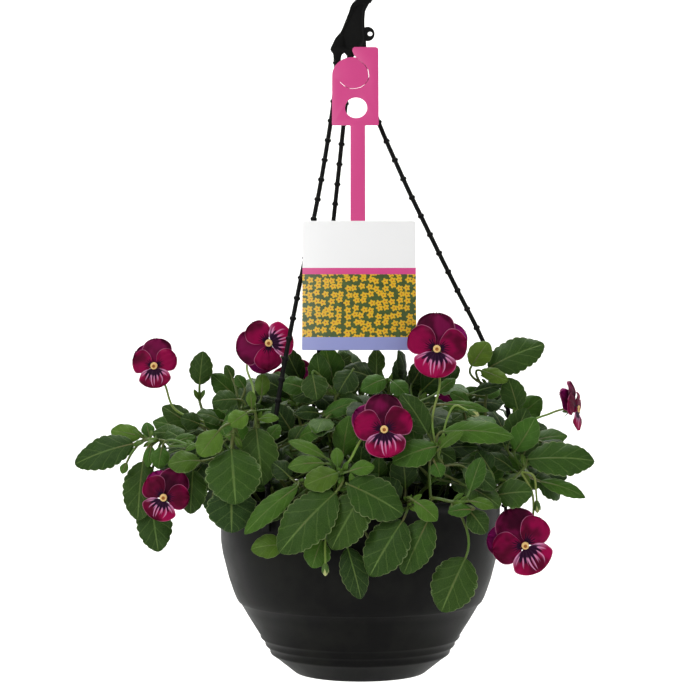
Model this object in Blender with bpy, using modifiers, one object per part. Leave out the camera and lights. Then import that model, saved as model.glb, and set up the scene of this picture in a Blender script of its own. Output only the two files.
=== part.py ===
"""Pansy hanging basket: a moulded pot on a three strand hanger, with a tag, soil and a plant.

Metres, +Z up. The origin is the inner crown of the hook, where the basket hangs. -Y is the
front. Places in lists are whole millimetres from the origin: x to the right, y away from the
viewer and z up.
"""
import math
import random

import bmesh
import bpy
from mathutils import Matrix, Vector
from mathutils.bvhtree import BVHTree

MM = 0.001
GAP = 0.3 * MM
WELD = 0.01 * MM
FINE_WELD = 0.0001 * MM

# Pot
POT_BASE_Z = -646 * MM
POT_HEIGHT = 158 * MM
POT_SIDES = 24
RING_HEIGHTS = (31, 24, 17)
RING_HALF_HEIGHT = 1.7
RING_RISE = 1.0
DRAIN_HOLES = 4
DRAIN_RADIUS = 4 * MM
DRAIN_CIRCLE = 32 * MM
DRAIN_SIDES = 8
DRAIN_CUT = (-5 * MM, 8 * MM)

# Soil
SOIL_HEIGHT = 146 * MM
SOIL_SIDES = 18
STEM_HOLE_SIDES = 4
STEM_DEPTH = 12 * MM
STEM_HOLE_EASE = 0.1 * MM
STEM_HOLE_CUT = 10 * MM

# Hanger
HUB_THICKNESS = 6 * MM
HOOK_INNER_RADIUS = 18
HOOK_OUTER_RADIUS = 28
HOOK_TIP_CENTRE = (-22.4, -24.5)
HOOK_TIP_RADIUS = 4.8
EYELET_PLACE = (6.7, -77.8)
EYELET_RADIUS = 6.3
EYELET_THICKNESS = 4 * MM
EYELET_HOLE_PLACE = (8.9, -77.8)
EYELET_HOLE_RADIUS = 2.2
EYELET_HOLE_CUT = 20 * MM
STRAND_RADIUS = 1.9 * MM
STRAND_STEP = 36 * MM
CLIP_WIDTH = 8 * MM
CORD_END_RADIUS = 127.6 * MM
CORD_END_Z = POT_BASE_Z + POT_HEIGHT + 2.4 * MM
STRAND_TURNS = {"left": -127.5, "back": 112.5, "right": -7.5}

# Tag
TAG_THICKNESS = 0.8 * MM
TAG_TILT = math.atan(0.262)
TAG_TOP = Vector((0, -4.3, -90.2)) * MM
PUNCH_RADIUS = 9.8 * MM

# Plant
STEM_RADIUS = 1.7 * MM
LEAF_STALK_RADIUS = 1.1 * MM
FLOWER_STALK_RADIUS = 1.0 * MM
BUD_RADIUS = 3.4 * MM
BLADE_HALF_THICKNESS = 0.6 * MM
CLEARANCE = 0.4 * MM
STEM_STEP = 27 * MM
LEAF_BEND_SPAN = 20 * MM
SEED = 11

# Where a stem or leaf moves to when its own place is taken
STEM_ASIDE = (3, 6, 9, 13, 18)
LEAF_SCALES = (1.0, 0.88, 0.76)
LEAF_SHIFTS = (0, 2, -2, 4, -4, 7, -7, 10, -10, 14, -14, 18, -18, 23)
LEAF_BENDS = (0.45, 0.15, 0.75)


def place(x, y, z):
    return Vector((x, y, z)) * MM


def around(radius, degrees, z):
    turn = math.radians(degrees)
    return Vector((radius * math.cos(turn), radius * math.sin(turn), z))


def clear_scene():
    for item in list(bpy.data.objects):
        bpy.data.objects.remove(item)


def new_collection(name):
    collection = bpy.data.collections.new(name)
    bpy.context.scene.collection.children.link(collection)
    return collection


clear_scene()
BASKET = new_collection("pansy_hanging_basket")
CUTTERS = new_collection("cutters")


def material(name, colour, roughness):
    made = bpy.data.materials.new(name)
    made.use_nodes = True
    shader = made.node_tree.nodes["Principled BSDF"]
    shader.inputs["Base Color"].default_value = (*colour, 1)
    shader.inputs["Roughness"].default_value = roughness
    shader.inputs["Metallic"].default_value = 0
    made.diffuse_color = (*colour, 1)
    return made


POT_PLASTIC = material("moulded_polypropylene_pot", (0.012, 0.012, 0.012), 0.55)
HANGER_PLASTIC = material("moulded_polypropylene_hanger", (0.010, 0.010, 0.009), 0.45)
TAG_PLASTIC = material("printed_polystyrene_sheet", (0.68, 0.07, 0.26), 0.35)
COMPOST = material("peat_compost", (0.030, 0.018, 0.010), 0.95)
FOLIAGE = material("pansy_foliage", (0.055, 0.110, 0.027), 0.50)
PETAL = material("magenta_petal", (0.230, 0.002, 0.040), 0.60)
EYE = material("yellow_eye", (0.800, 0.420, 0.050), 0.50)


def mesh_object(name, mesh, finish):
    mesh.materials.clear()
    mesh.materials.append(finish)
    made = bpy.data.objects.new(name, mesh)
    BASKET.objects.link(made)
    return made


def from_bmesh(name, form, finish):
    bmesh.ops.recalc_face_normals(form, faces=form.faces)
    mesh = bpy.data.meshes.new(name)
    form.to_mesh(mesh)
    form.free()
    return mesh_object(name, mesh, finish)


def evaluated(source, name, finish, weld=WELD):
    """Mesh object with what the modifiers or the curve settings of the source make"""
    graph = bpy.context.evaluated_depsgraph_get()
    mesh = bpy.data.meshes.new_from_object(source.evaluated_get(graph))
    form = bmesh.new()
    form.from_mesh(mesh)
    bpy.data.meshes.remove(mesh)
    bmesh.ops.remove_doubles(form, verts=form.verts, dist=weld)
    form.transform(source.matrix_world)
    bpy.data.objects.remove(source)
    return from_bmesh(name, form, finish)


def make_cutter(item):
    item.hide_render = True
    item.display_type = "WIRE"
    for collection in list(item.users_collection):
        collection.objects.unlink(item)
    CUTTERS.objects.link(item)


def cut(item, cutter):
    make_cutter(cutter)
    step = item.modifiers.new("cut_" + cutter.name, "BOOLEAN")
    step.operation = "DIFFERENCE"
    step.object = cutter


def bodies_of(form):
    """Sets of the faces that hang together"""
    waiting = set(form.faces)
    bodies = []
    while waiting:
        grown = {waiting.pop()}
        front = list(grown)
        while front:
            face = front.pop()
            for edge in face.edges:
                for other in edge.link_faces:
                    if other not in grown:
                        grown.add(other)
                        front.append(other)
        waiting -= grown
        bodies.append(grown)
    return sorted(bodies, key=len)


def drop_scraps(mesh):
    """Deletes what a join left loose beside the largest body, and says if it was sound"""
    form = bmesh.new()
    form.from_mesh(mesh)
    scraps = bodies_of(form)[:-1]
    for scrap in scraps:
        bmesh.ops.delete(form, geom=list(scrap), context="FACES")
    closed = all(len(edge.link_faces) == 2 for edge in form.edges)
    form.to_mesh(mesh)
    form.free()
    return closed and not scraps


def fuse(name, pieces, finish):
    """One body from the pieces, which go"""
    if len(pieces) == 1:
        pieces[0].name = name
        return pieces[0]
    group = new_collection(name + "_pieces")
    for piece in pieces[1:]:
        BASKET.objects.unlink(piece)
        group.objects.link(piece)
    joined = None
    for solver, weld in (("EXACT", WELD), ("EXACT", FINE_WELD), ("MANIFOLD", FINE_WELD)):
        body = pieces[0].copy()
        BASKET.objects.link(body)
        step = body.modifiers.new("join", "BOOLEAN")
        step.operation = "UNION"
        step.solver = solver
        step.operand_type = "COLLECTION"
        step.collection = group
        if joined:
            bpy.data.objects.remove(joined)
        joined = evaluated(body, name, finish, weld)
        if drop_scraps(joined.data):
            break
        print(solver, "left scraps or open edges in", name)
    for piece in [pieces[0]] + list(group.objects):
        bpy.data.objects.remove(piece)
    bpy.data.collections.remove(group)
    joined.name = name
    return joined


def turned(name, profile, sides, finish):
    """Solid turned round Z from a profile in millimetres, from the axis round to the axis"""
    form = bmesh.new()
    points = [form.verts.new((radius * MM, 0, height * MM)) for radius, height in profile]
    for first, second in zip(points, points[1:]):
        form.edges.new((first, second))
    mesh = bpy.data.meshes.new(name)
    form.to_mesh(mesh)
    form.free()
    body = mesh_object(name, mesh, finish)
    step = body.modifiers.new("turn", "SCREW")
    step.steps = sides
    step.render_steps = sides
    step.use_merge_vertices = True
    step.merge_threshold = 0.01 * MM
    body.location.z = POT_BASE_Z
    return body


def drum(name, radius, low, high, sides, finish):
    """Upright cylinder between two heights"""
    form = bmesh.new()
    bmesh.ops.create_cone(form, cap_ends=True, segments=sides, radius1=radius, radius2=radius,
                          depth=high - low)
    bmesh.ops.translate(form, verts=form.verts, vec=(0, 0, (low + high) / 2))
    return from_bmesh(name, form, finish)


# Pot: outer wall, raised rings and a rim bead

POT_OUTSIDE = [(124.6, 158), (127.0, 157.2), (127.5, 154.0), (125.0, 150),
               (124.0, 117), (119.6, 95.5), (113.4, 74), (108.8, 63.5), (106.6, 62.0),
               (98.0, 47.5)]
POT_FOOT = [(62.0, 3.0), (58.0, 0), (0, 0)]
POT_INSIDE = [(0, 2.5), (57, 3.5), (104, 61.5), (117, 95), (122.2, 135), (124, 158)]


# Radius and height where the plain lower wall starts and ends
LOWER_WALL = [(98.0, 47.5), (78.0, 15.5)]


def wall_radius(height):
    """Radius of the plain lower wall at a height, both in millimetres"""
    (top_radius, top), (low_radius, low) = LOWER_WALL
    return low_radius + (top_radius - low_radius) * (height - low) / (top - low)


def ring_profile():
    """Three raised rings, top to bottom"""
    half = RING_HALF_HEIGHT
    points = []
    for height in RING_HEIGHTS:
        points.append((wall_radius(height + half), height + half))
        points.append((wall_radius(height) + RING_RISE, height))
        points.append((wall_radius(height - half), height - half))
    return points


def build_pot():
    outline = POT_INSIDE + POT_OUTSIDE + ring_profile() + POT_FOOT
    pot = turned("pot", outline, POT_SIDES, POT_PLASTIC)
    for hole in range(DRAIN_HOLES):
        turn = 45 + hole * 360 / DRAIN_HOLES
        cutter = drum(f"drain_{hole}", DRAIN_RADIUS, *DRAIN_CUT, DRAIN_SIDES, POT_PLASTIC)
        cutter.location = around(DRAIN_CIRCLE, turn, POT_BASE_Z)
        cut(pot, cutter)
    return pot


# Soil: fills the pot to just under the rim

SOIL_PROFILE = [(0, 3.0), (56.0, 4.2), (102.2, 61.8), (115.3, 95.2),
                (120.6, 135), (121.2, 144), (60, 147), (0, 148)]


def build_soil():
    return turned("soil", list(reversed(SOIL_PROFILE)), SOIL_SIDES, COMPOST)


def drill(soil, roots):
    """Plain holes that the stems stand in"""
    radius = (STEM_RADIUS + GAP) / math.cos(math.pi / STEM_HOLE_SIDES) + STEM_HOLE_EASE
    top = SOIL_HEIGHT + STEM_HOLE_CUT
    low = SOIL_HEIGHT - STEM_DEPTH - GAP
    for number, root in enumerate(roots):
        cutter = drum(f"stem_hole_{number}", radius, low, top, STEM_HOLE_SIDES, COMPOST)
        cutter.location = (root.x, root.y, POT_BASE_Z)
        cut(soil, cutter)


# Hanger hub with hook, one flat moulding

def arc(centre, radius, first, last, steps):
    """Points on an arc in the XZ plane, in millimetres and degrees"""
    points = []
    for step in range(steps + 1):
        turn = math.radians(first + (last - first) * step / steps)
        points.append((centre[0] + radius * math.cos(turn), centre[1] + radius * math.sin(turn)))
    return points


def plate(name, outline, holes, thickness, finish):
    """Flat sheet standing in the XZ plane, from outlines in millimetres"""
    data = bpy.data.curves.new(name, "CURVE")
    data.dimensions = "2D"
    data.fill_mode = "BOTH"
    data.extrude = thickness / 2
    data.resolution_u = 1
    for line in [outline] + holes:
        spline = data.splines.new("POLY")
        spline.points.add(len(line) - 1)
        spline.use_cyclic_u = True
        for point, (x, z) in zip(spline.points, line):
            point.co = (x * MM, z * MM, 0, 1)
    sheet = bpy.data.objects.new(name, data)
    BASKET.objects.link(sheet)
    sheet.rotation_euler.x = math.radians(90)
    bpy.context.view_layer.update()
    return evaluated(sheet, name, finish)


HOOK_SHANK = [(16.5, -40.5)]
HUB_LEFT = [(-23.5, -103), (-24.1, -95), (-27, -92), (-22, -81.5), (-17, -76), (-6.2, -49)]
HUB_RIGHT = [(9.0, -48.8), (4.6, -57), (4.0, -64), (4.0, -71), (5.5, -86), (6.3, -103)]
HUB_ARCHES = [(0.4, -103), (-0.6, -98), (-3.2, -95), (-5.8, -98), (-6.4, -103), (-11.6, -103),
              (-11.8, -97), (-14.0, -94.4), (-16.6, -96.5), (-17.5, -103)]


def build_hub():
    centre = (0, -HOOK_INNER_RADIUS)
    inside = arc(centre, HOOK_INNER_RADIUS, -58, 196, 14)
    tip = arc(HOOK_TIP_CENTRE, HOOK_TIP_RADIUS, 16, -164, 4)
    outside = arc(centre, HOOK_OUTER_RADIUS, 196, -30, 16)
    outline = HUB_LEFT + inside + tip[1:-1] + outside + HOOK_SHANK + HUB_RIGHT + HUB_ARCHES
    hub = plate("hub_plate", outline, [], HUB_THICKNESS, HANGER_PLASTIC)
    ring = arc(EYELET_PLACE, EYELET_RADIUS, 0, 330, 11)
    eyelet = plate("eyelet", ring, [], EYELET_THICKNESS, HANGER_PLASTIC)
    joined = fuse("hanger_hub", [hub, eyelet], HANGER_PLASTIC)
    bore = arc(EYELET_HOLE_PLACE, EYELET_HOLE_RADIUS, 0, 315, 7)
    hole = plate("eyelet_hole", bore, [], EYELET_HOLE_CUT, HANGER_PLASTIC)
    cut(joined, hole)
    return joined


# Strands: knobbed plastic cords from the hub's legs to clips on the rim

LEG_ENDS = {"left": (-20.5, 0, -104), "back": (-9.0, 0, -104), "right": (3.3, 0, -104)}
STRAND_ROUTES = {
    "left": [(-25, -12, -150), (-37, -31, -226), (-53, -54, -306), (-68, -78, -390),
             (-77, -98, -462)],
    "back": [(-13, 12, -140), (-24, 42, -240), (-36, 74, -340), (-45, 102, -430),
             (-50, 117, -470)],
    "right": [(12, -3, -145), (37, -8, -205), (58, -14, -250), (83, -21, -302),
              (107, -24, -350), (127, -24, -400), (133, -20, -440), (130.5, -17, -470)],
}


def smooth(points, step):
    """Points about one step apart on a smooth curve through the given points"""
    padded = [points[0] * 2 - points[1]] + points + [points[-1] * 2 - points[-2]]
    made = [points[0].copy()]
    for index in range(len(points) - 1):
        a, b, c, d = padded[index:index + 4]
        count = max(1, round((c - b).length / step))
        for part in range(1, count + 1):
            t = part / count
            made.append(0.5 * (2 * b + (c - a) * t + (2 * a - 5 * b + 4 * c - d) * t * t
                               + (3 * b - a - 3 * c + d) * t ** 3))
    return made


def tube(name, points, radii, resolution, finish):
    """Filled tube through the points, with 4 + 2 * resolution sides"""
    data = bpy.data.curves.new(name, "CURVE")
    data.dimensions = "3D"
    data.bevel_depth = max(radii)
    data.bevel_resolution = resolution
    data.use_fill_caps = True
    spline = data.splines.new("POLY")
    spline.points.add(len(points) - 1)
    for target, point, radius in zip(spline.points, points, radii):
        target.co = (*point, 1)
        target.radius = radius / max(radii)
    cord = bpy.data.objects.new(name, data)
    BASKET.objects.link(cord)
    return evaluated(cord, name, finish)


def along(points, distance):
    """Point at a distance along a line of points"""
    for first, second in zip(points, points[1:]):
        length = (second - first).length
        if distance <= length:
            return first.lerp(second, distance / length)
        distance -= length
    return points[-1].copy()


def line_length(points):
    return sum((second - first).length for first, second in zip(points, points[1:]))


CLIP_OUTLINE = [(118.6, 152), (118.6, 161.6), (130.2, 161.6), (130.2, 134), (127.4, 134),
                (127.4, 147.5), (125.2, 148.6), (125.2, 150.6), (127.2, 152), (127.2, 158.7),
                (121.8, 158.7), (121.8, 152)]


def clip_solid(name, degrees):
    outline = [(radius, height + POT_BASE_Z / MM) for radius, height in CLIP_OUTLINE]
    clip = plate("clip_" + name, outline, [], CLIP_WIDTH, HANGER_PLASTIC)
    clip.data.transform(Matrix.Rotation(math.radians(degrees), 4, "Z"))
    return clip


def strand_points(name):
    """The cord from its leg of the hub to its clip"""
    route = [place(*LEG_ENDS[name])] + [place(*point) for point in STRAND_ROUTES[name]]
    end = around(CORD_END_RADIUS, STRAND_TURNS[name], CORD_END_Z)
    return smooth(route + [end], STRAND_STEP)


def build_strand(name):
    points = strand_points(name)
    cord = tube("cord_" + name, points, [STRAND_RADIUS] * len(points), 1, HANGER_PLASTIC)
    return fuse("strand_" + name, [cord, clip_solid(name, STRAND_TURNS[name])], HANGER_PLASTIC)


# Hang tag: one die cut sheet, leaning on the left strand

TAG_HEAD_RIGHT = [(-2.9, 10.6), (-5.6, 7.2), (-7.0, 3.6), (-5.0, 0), (13.8, 0), (16.3, 2.5),
                  (16.3, 74.4), (4.3, 74.4)]
TAG_CARD = [(4.3, 163.1), (47.8, 163.1), (47.8, 279), (-50, 279), (-50, 163.1), (-8.6, 163.1),
            (-8.6, 74.4), (-24.9, 74.4)]
TAG_SLIT = [(4.5, 17.5), (7.6, 26), (4.8, 35), (-3, 39.6), (-12, 38.6), (-18, 33.4)]
TAG_LOBE_CENTRE = (-7.1, 27.6)
TAG_LOBE_RADIUS = 17.8
TAG_PUNCH = (-3.6, 57.9)


def tag_slit():
    """The curved slit, there and back, open at the notch"""
    half = 0.5
    centre = TAG_LOBE_CENTRE
    inner = []
    outer = []
    for x, down in TAG_SLIT:
        away = Vector((x - centre[0], down - centre[1])).normalized() * half
        inner.append((x - away.x, down - away.y))
        outer.append((x + away.x, down + away.y))
    return inner + list(reversed(outer))


def build_tag():
    lobe = [(x, down) for x, down in arc(TAG_LOBE_CENTRE, TAG_LOBE_RADIUS, 180, 282, 8)]
    outline = TAG_CARD + lobe + tag_slit() + TAG_HEAD_RIGHT
    punch = arc(TAG_PUNCH, PUNCH_RADIUS / MM, 0, 345, 15)
    flipped = [[(x, -down) for x, down in line] for line in (outline, punch)]
    tag = plate("hang_tag", flipped[0], [flipped[1]], TAG_THICKNESS, TAG_PLASTIC)
    tilt = Matrix.Rotation(-TAG_TILT, 4, "X")
    tag.data.transform(Matrix.Translation(TAG_TOP) @ tilt)
    return tag


# Plant, first the measures of a leaf or petal

FRONT_LOOK = Vector((0, -0.9, 0.45))
# Widest point along the blade, fullness of the outline, arch and edge sag for each kind
BLADE_FORMS = {
    "dark": (0.46, 0.60, 0.09, 0.16),
    "deep": (0.46, 0.62, 0.10, 0.18),
    "mid": (0.48, 0.66, 0.12, 0.20),
    "light": (0.50, 0.56, 0.06, 0.14),
    "young": (0.55, 0.72, 0.14, 0.12),
    "petal": (0.56, 0.48, 0.05, 0.10),
    "lip": (0.45, 0.44, 0.05, 0.10),
}
TOOTH_DEPTH = 0.10
PETAL_STATIONS = (0.2, 0.48, 0.77, 0.94)


class Blade:
    """A leaf or petal: where it sits, how it is turned and its measures in metres"""

    def __init__(self, kind, base, tip, width, look):
        self.kind = kind
        self.base = base
        self.tip = tip
        self.half_width = width / 2
        self.axis = (tip - base).normalized()
        self.length = (tip - base).length
        self.facing = (look - self.axis * look.dot(self.axis)).normalized()
        self.across = self.axis.cross(self.facing)

    def half_at(self, u):
        widest, fullness, _, _ = BLADE_FORMS[self.kind]
        power = math.log(0.5) / math.log(widest)
        return self.half_width * math.sin(math.pi * u ** power) ** fullness

    def surface(self, u, half, lift):
        """Point at u of the length and half across, lifted off the middle surface"""
        _, _, arch, sag = BLADE_FORMS[self.kind]
        bow = arch * self.length * 4 * u * (1 - u)
        drop = sag * half * half / self.half_width
        return (self.base + self.axis * self.length * u + self.across * half
                + self.facing * (bow - drop + lift))

    def side_stations(self):
        """Places along each edge, with the crenate teeth as every other point drawn in"""
        if self.kind in ("petal", "lip"):
            return [(u, 1) for u in PETAL_STATIONS]
        count = 6 if self.half_width > 13.5 * MM else 4
        if self.half_width < 9.2 * MM:
            count = 3
        stations = []
        for index in range(1, count + 1):
            u = index / (count + 1)
            toothed = count > 3 and index % 2 == 0
            stations.append((u, 1 - TOOTH_DEPTH if toothed else 1))
        return stations

    def rib_stations(self):
        return (0.36, 0.7) if self.half_width > 11.5 * MM else (0.5,)

    def moved(self, offset, scale):
        return Blade(self.kind, self.base + offset,
                     self.base + offset + (self.tip - self.base) * scale,
                     self.half_width * 2 * scale, self.facing)


def strip(faces, rib, side, tip):
    """Triangles between a rib line and an edge line, which meet at the tip"""
    first = 0
    second = 0
    while first < len(rib) - 1 or second < len(side) - 1:
        rib_next = rib[first + 1][0] if first < len(rib) - 1 else 2
        side_next = side[second + 1][0] if second < len(side) - 1 else 2
        if rib_next < side_next:
            faces.append((rib[first][1], side[second][1], rib[first + 1][1]))
            first += 1
        else:
            faces.append((rib[first][1], side[second][1], side[second + 1][1]))
            second += 1
    faces.append((rib[-1][1], side[-1][1], tip))


def blade_shape(blade, stalk, radius, spare=0.0):
    """Vertices and faces of a blade on its stalk; spare grows it all round"""
    verts = []
    faces = []

    def add(point):
        verts.append(point)
        return len(verts) - 1

    rings = []
    across = blade.across
    line = stalk + [blade.base]
    ahead = blade.axis
    for index in range(len(line) - 1, -1, -1):
        behind = (line[index] - line[index - 1]).normalized() if index else ahead
        tangent = (ahead + behind).normalized()
        ahead = behind
        across = (across - tangent * across.dot(tangent)).normalized()
        facing = across.cross(tangent)
        size = radius + spare
        rings.append([add(line[index] + across * size), add(line[index] + facing * size),
                      add(line[index] - across * size), add(line[index] - facing * size)])
    for ring, following in zip(rings, rings[1:]):
        for corner in range(4):
            after = (corner + 1) % 4
            faces.append((ring[corner], ring[after], following[after], following[corner]))
    faces.append(tuple(rings[-1]))
    stalk_faces = len(faces)

    sheets = []
    for sign, rib_corner in ((1, 1), (-1, 3)):
        if sign == 1 or spare:
            rim = sign * spare
            tip = add(blade.surface(1, 0, rim) + blade.axis * spare)
            edges = []
            for side, corner in ((1, 0), (-1, 2)):
                edge = [(0, rings[0][corner])]
                for u, factor in blade.side_stations():
                    half = side * (blade.half_at(u) * factor + spare)
                    edge.append((u, add(blade.surface(u, half, rim))))
                edges.append(edge)
        rib = [(0, rings[0][rib_corner])]
        for u in blade.rib_stations():
            thick = BLADE_HALF_THICKNESS * (1.25 - 0.6 * u) + spare
            rib.append((u, add(blade.surface(u, 0, sign * thick))))
        for edge in edges:
            strip(faces, rib, edge, tip)
        sheets.append((tip, edges))
    if spare:
        (top_tip, top_edges), (low_tip, low_edges) = sheets
        for top, low in zip(top_edges, low_edges):
            upper = [index for _, index in top] + [top_tip]
            lower = [index for _, index in low] + [low_tip]
            for step in range(len(upper) - 1):
                faces.append((upper[step], upper[step + 1], lower[step + 1], lower[step]))
    return verts, faces, stalk_faces


def blade_object(name, blade, stalk, radius, finish):
    verts, faces, _ = blade_shape(blade, stalk, radius)
    form = bmesh.new()
    made = [form.verts.new(vert) for vert in verts]
    for face in faces:
        form.faces.new([made[index] for index in face])
    return from_bmesh(name, form, finish)


# Room: what is placed already, and whether a new piece is clear of it

class Placed:
    def __init__(self, node, part, verts, faces):
        self.node = node
        self.part = part
        self.tree = BVHTree.FromPolygons(verts, faces)
        self.low = [min(vert[axis] for vert in verts) for axis in range(3)]
        self.high = [max(vert[axis] for vert in verts) for axis in range(3)]

    def meets(self, other):
        for axis in range(3):
            if self.low[axis] > other.high[axis] or other.low[axis] > self.high[axis]:
                return False
        return bool(self.tree.overlap(other.tree))


PLACED = []


def keep_object(item, node, part):
    graph = bpy.context.evaluated_depsgraph_get()
    mesh = item.evaluated_get(graph).to_mesh()
    verts = [item.matrix_world @ vert.co for vert in mesh.vertices]
    faces = [tuple(face.vertices) for face in mesh.polygons]
    PLACED.append(Placed(node, part, verts, faces))


def is_clear(candidate, strict):
    for piece in PLACED:
        if piece.node == candidate.node:
            if candidate.part == "stalk" or piece.part == "stalk":
                continue
            if not strict and piece.part == "stem":
                continue
        if candidate.meets(piece):
            return False
    return True


def leaf_guards(node, blade, stalk, spare):
    verts, faces, stalk_faces = blade_shape(blade, stalk, LEAF_STALK_RADIUS, spare)
    return (Placed(node, "blade", verts, faces[stalk_faces:]),
            Placed(node, "stalk", verts, faces[:stalk_faces]))


def leaf_stalk(root, blade, bend):
    """Stalk from the stem to the base of the blade, ending in line with the midrib"""
    span = (blade.base - root).length
    middle = blade.base - blade.axis * span * bend
    sharp = (blade.base - root).dot(blade.axis) < 0.3 * span
    count = 2 if span > LEAF_BEND_SPAN or sharp else 1
    points = []
    for step in range(count):
        t = step / count
        points.append(root * (1 - t) ** 2 + middle * 2 * t * (1 - t) + blade.base * t * t)
    return points


def set_leaf(node, blade, root, push):
    """Finds a clear place near the wanted one, and gives the blade and its stalk or None"""
    for scale in LEAF_SCALES:
        for strict in (True, False):
            for shift in LEAF_SHIFTS:
                for bend in LEAF_BENDS:
                    moved = blade.moved(push * shift * MM, scale)
                    stalk = leaf_stalk(root, moved, bend)
                    guards = leaf_guards(node, moved, stalk, CLEARANCE)
                    if all(is_clear(guard, strict) for guard in guards):
                        PLACED.extend(leaf_guards(node, moved, stalk, 0.01 * MM))
                        return moved, stalk
    return None


def set_tube(node, points, radii, movable):
    """Stem or flower stalk, bent aside where it would cross another piece"""
    sides = [Vector((0, 0, 0))]
    for reach in STEM_ASIDE:
        for turn in range(0, 360, 45):
            sides.append(around(reach * MM, turn, 0))
    for side in sides:
        moved = [point.copy() for point in points]
        for index in movable:
            share = math.sin(math.pi * (index + 1) / (len(points) + 1))
            moved[index] += side * share
        line = smooth(moved, STEM_STEP)
        sizes = [radii(index / (len(line) - 1)) for index in range(len(line))]
        guard = tube(node + "_guard", line, [size + CLEARANCE for size in sizes], 0, FOLIAGE)
        verts = [vert.co.copy() for vert in guard.data.vertices]
        faces = [tuple(face.vertices) for face in guard.data.polygons]
        bpy.data.objects.remove(guard)
        candidate = Placed(node, "stem", verts, faces)
        others = [piece for piece in PLACED if piece.node not in (node, "soil")]
        if not any(candidate.meets(piece) for piece in others):
            PLACED.append(candidate)
            return line, tube(node + "_stem", line, sizes, 0, FOLIAGE)
    print("no room for", node)
    line = smooth(points, STEM_STEP)
    sizes = [radii(index / (len(line) - 1)) for index in range(len(line))]
    return line, tube(node + "_stem", line, sizes, 0, FOLIAGE)


# Blooms: two back petals, two side petals, a lip and a yellow eye

# Form, turn from straight up, length, width, layer at the claw and lean of the tip, all but the
# turn in millimetres
PETALS = [
    ("petal", 48, 30, 28, -3.6, -8.0),
    ("petal", -8, 32, 34, -2.4, -5.5),
    ("petal", 68, 26.5, 27, -1.2, -2.0),
    ("petal", -66, 26.5, 27, -1.0, -1.2),
    ("lip", 180, 24.5, 36, 0.0, 1.0),
]
CORE_RADIUS = 3.2 * MM
CORE_BACK = 4.4 * MM
CORE_FRONT = 0.3 * MM
CLAW_RADIUS = 1.0 * MM
EYE_RADIUS = 3.2 * MM
EYE_FLATNESS = 0.36
EYE_FORWARD = 1.85 * MM
CALYX_BEHIND = 1.7 * MM
CALYX_HALF_THICKNESS = 1.3 * MM
SEPAL_REACH = 6.8 * MM
SEPAL_LEAN = 5.4 * MM
SEPAL_NOTCH = 2.2 * MM

# Eye, direction that the face looks in, turn to the left of upright, size, and the side that
# the small back petal is on: 1 for the left
BLOOMS = {
    "bloom_1": ((-182, -20, -374), (-0.10, -1, 0.10), 4, 0.80, 1),
    "bloom_2": ((-79, -60, -354), (0.10, -1, 0.12), 110, 0.88, 1),
    "bloom_3": ((64, -98, -359), (0.02, -1, 0.10), -7, 1.00, -1),
    "bloom_4": ((193, -20, -412), (0.92, -0.36, 0.04), 0, 0.78, 1),
    "bloom_5": ((19, -137, -425), (0.07, -1, 0.14), 6, 0.95, 1),
    "bloom_6": ((-167, -86, -485), (-0.10, -1, 0.06), -22, 0.82, 1),
    "bloom_7": ((137, -112, -523), (0.12, -1, 0.04), 30, 1.02, 1),
    "bloom_8": ((-66, 118, -392), (-0.35, 0.85, 0.40), 10, 0.92, 1),
    "bloom_9": ((98, 112, -420), (0.55, 0.75, 0.25), -14, 0.96, -1),
}


class Bloom:
    def __init__(self, eye, look, roll, size, side):
        self.face = Vector(look).normalized()
        self.up = (Vector((0, 0, 1)) - self.face * self.face.z).normalized()
        self.right = self.up.cross(self.face)
        self.roll = roll
        self.size = size
        self.side = side
        self.eye = place(*eye)
        self.centre = self.eye - self.face * EYE_FORWARD
        self.back = self.centre - self.face * (CORE_BACK + 2 * GAP)

    def toward(self, turn):
        angle = math.radians(turn * self.side + self.roll)
        return self.up * math.cos(angle) - self.right * math.sin(angle)

    def petals(self):
        made = []
        for form, turn, length, width, layer, lean in PETALS:
            away = self.toward(turn)
            base = self.centre + away * 2.2 * MM + self.face * layer * MM
            tip = (self.centre + away * length * self.size * MM
                   + self.face * (layer + lean * self.size) * MM)
            made.append(Blade(form, base, tip, width * self.size * MM, self.face))
        return made


def aimed(form, direction, origin):
    turn = Vector((0, 0, 1)).rotation_difference(direction).to_matrix().to_4x4()
    form.transform(Matrix.Translation(origin) @ turn)


def build_bloom(name, bloom):
    form = bmesh.new()
    bmesh.ops.create_cone(form, cap_ends=True, segments=6, radius1=CORE_RADIUS,
                          radius2=CORE_RADIUS, depth=CORE_BACK + CORE_FRONT)
    aimed(form, bloom.face, bloom.centre + bloom.face * (CORE_FRONT - CORE_BACK) / 2)
    pieces = [from_bmesh(name + "_core", form, PETAL)]
    for number, petal in enumerate(bloom.petals()):
        pieces.append(blade_object(f"{name}_petal_{number}", petal, [], CLAW_RADIUS, PETAL))
    petals = fuse(name + "_petals", pieces, PETAL)
    keep_object(petals, name + "_petals", "blade")
    form = bmesh.new()
    bmesh.ops.create_uvsphere(form, u_segments=6, v_segments=3, radius=EYE_RADIUS)
    bmesh.ops.scale(form, verts=form.verts, vec=(1, 1, EYE_FLATNESS))
    aimed(form, bloom.face, bloom.eye)
    eye = from_bmesh(name + "_eye", form, EYE)
    keep_object(eye, name + "_eye", "blade")


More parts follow.
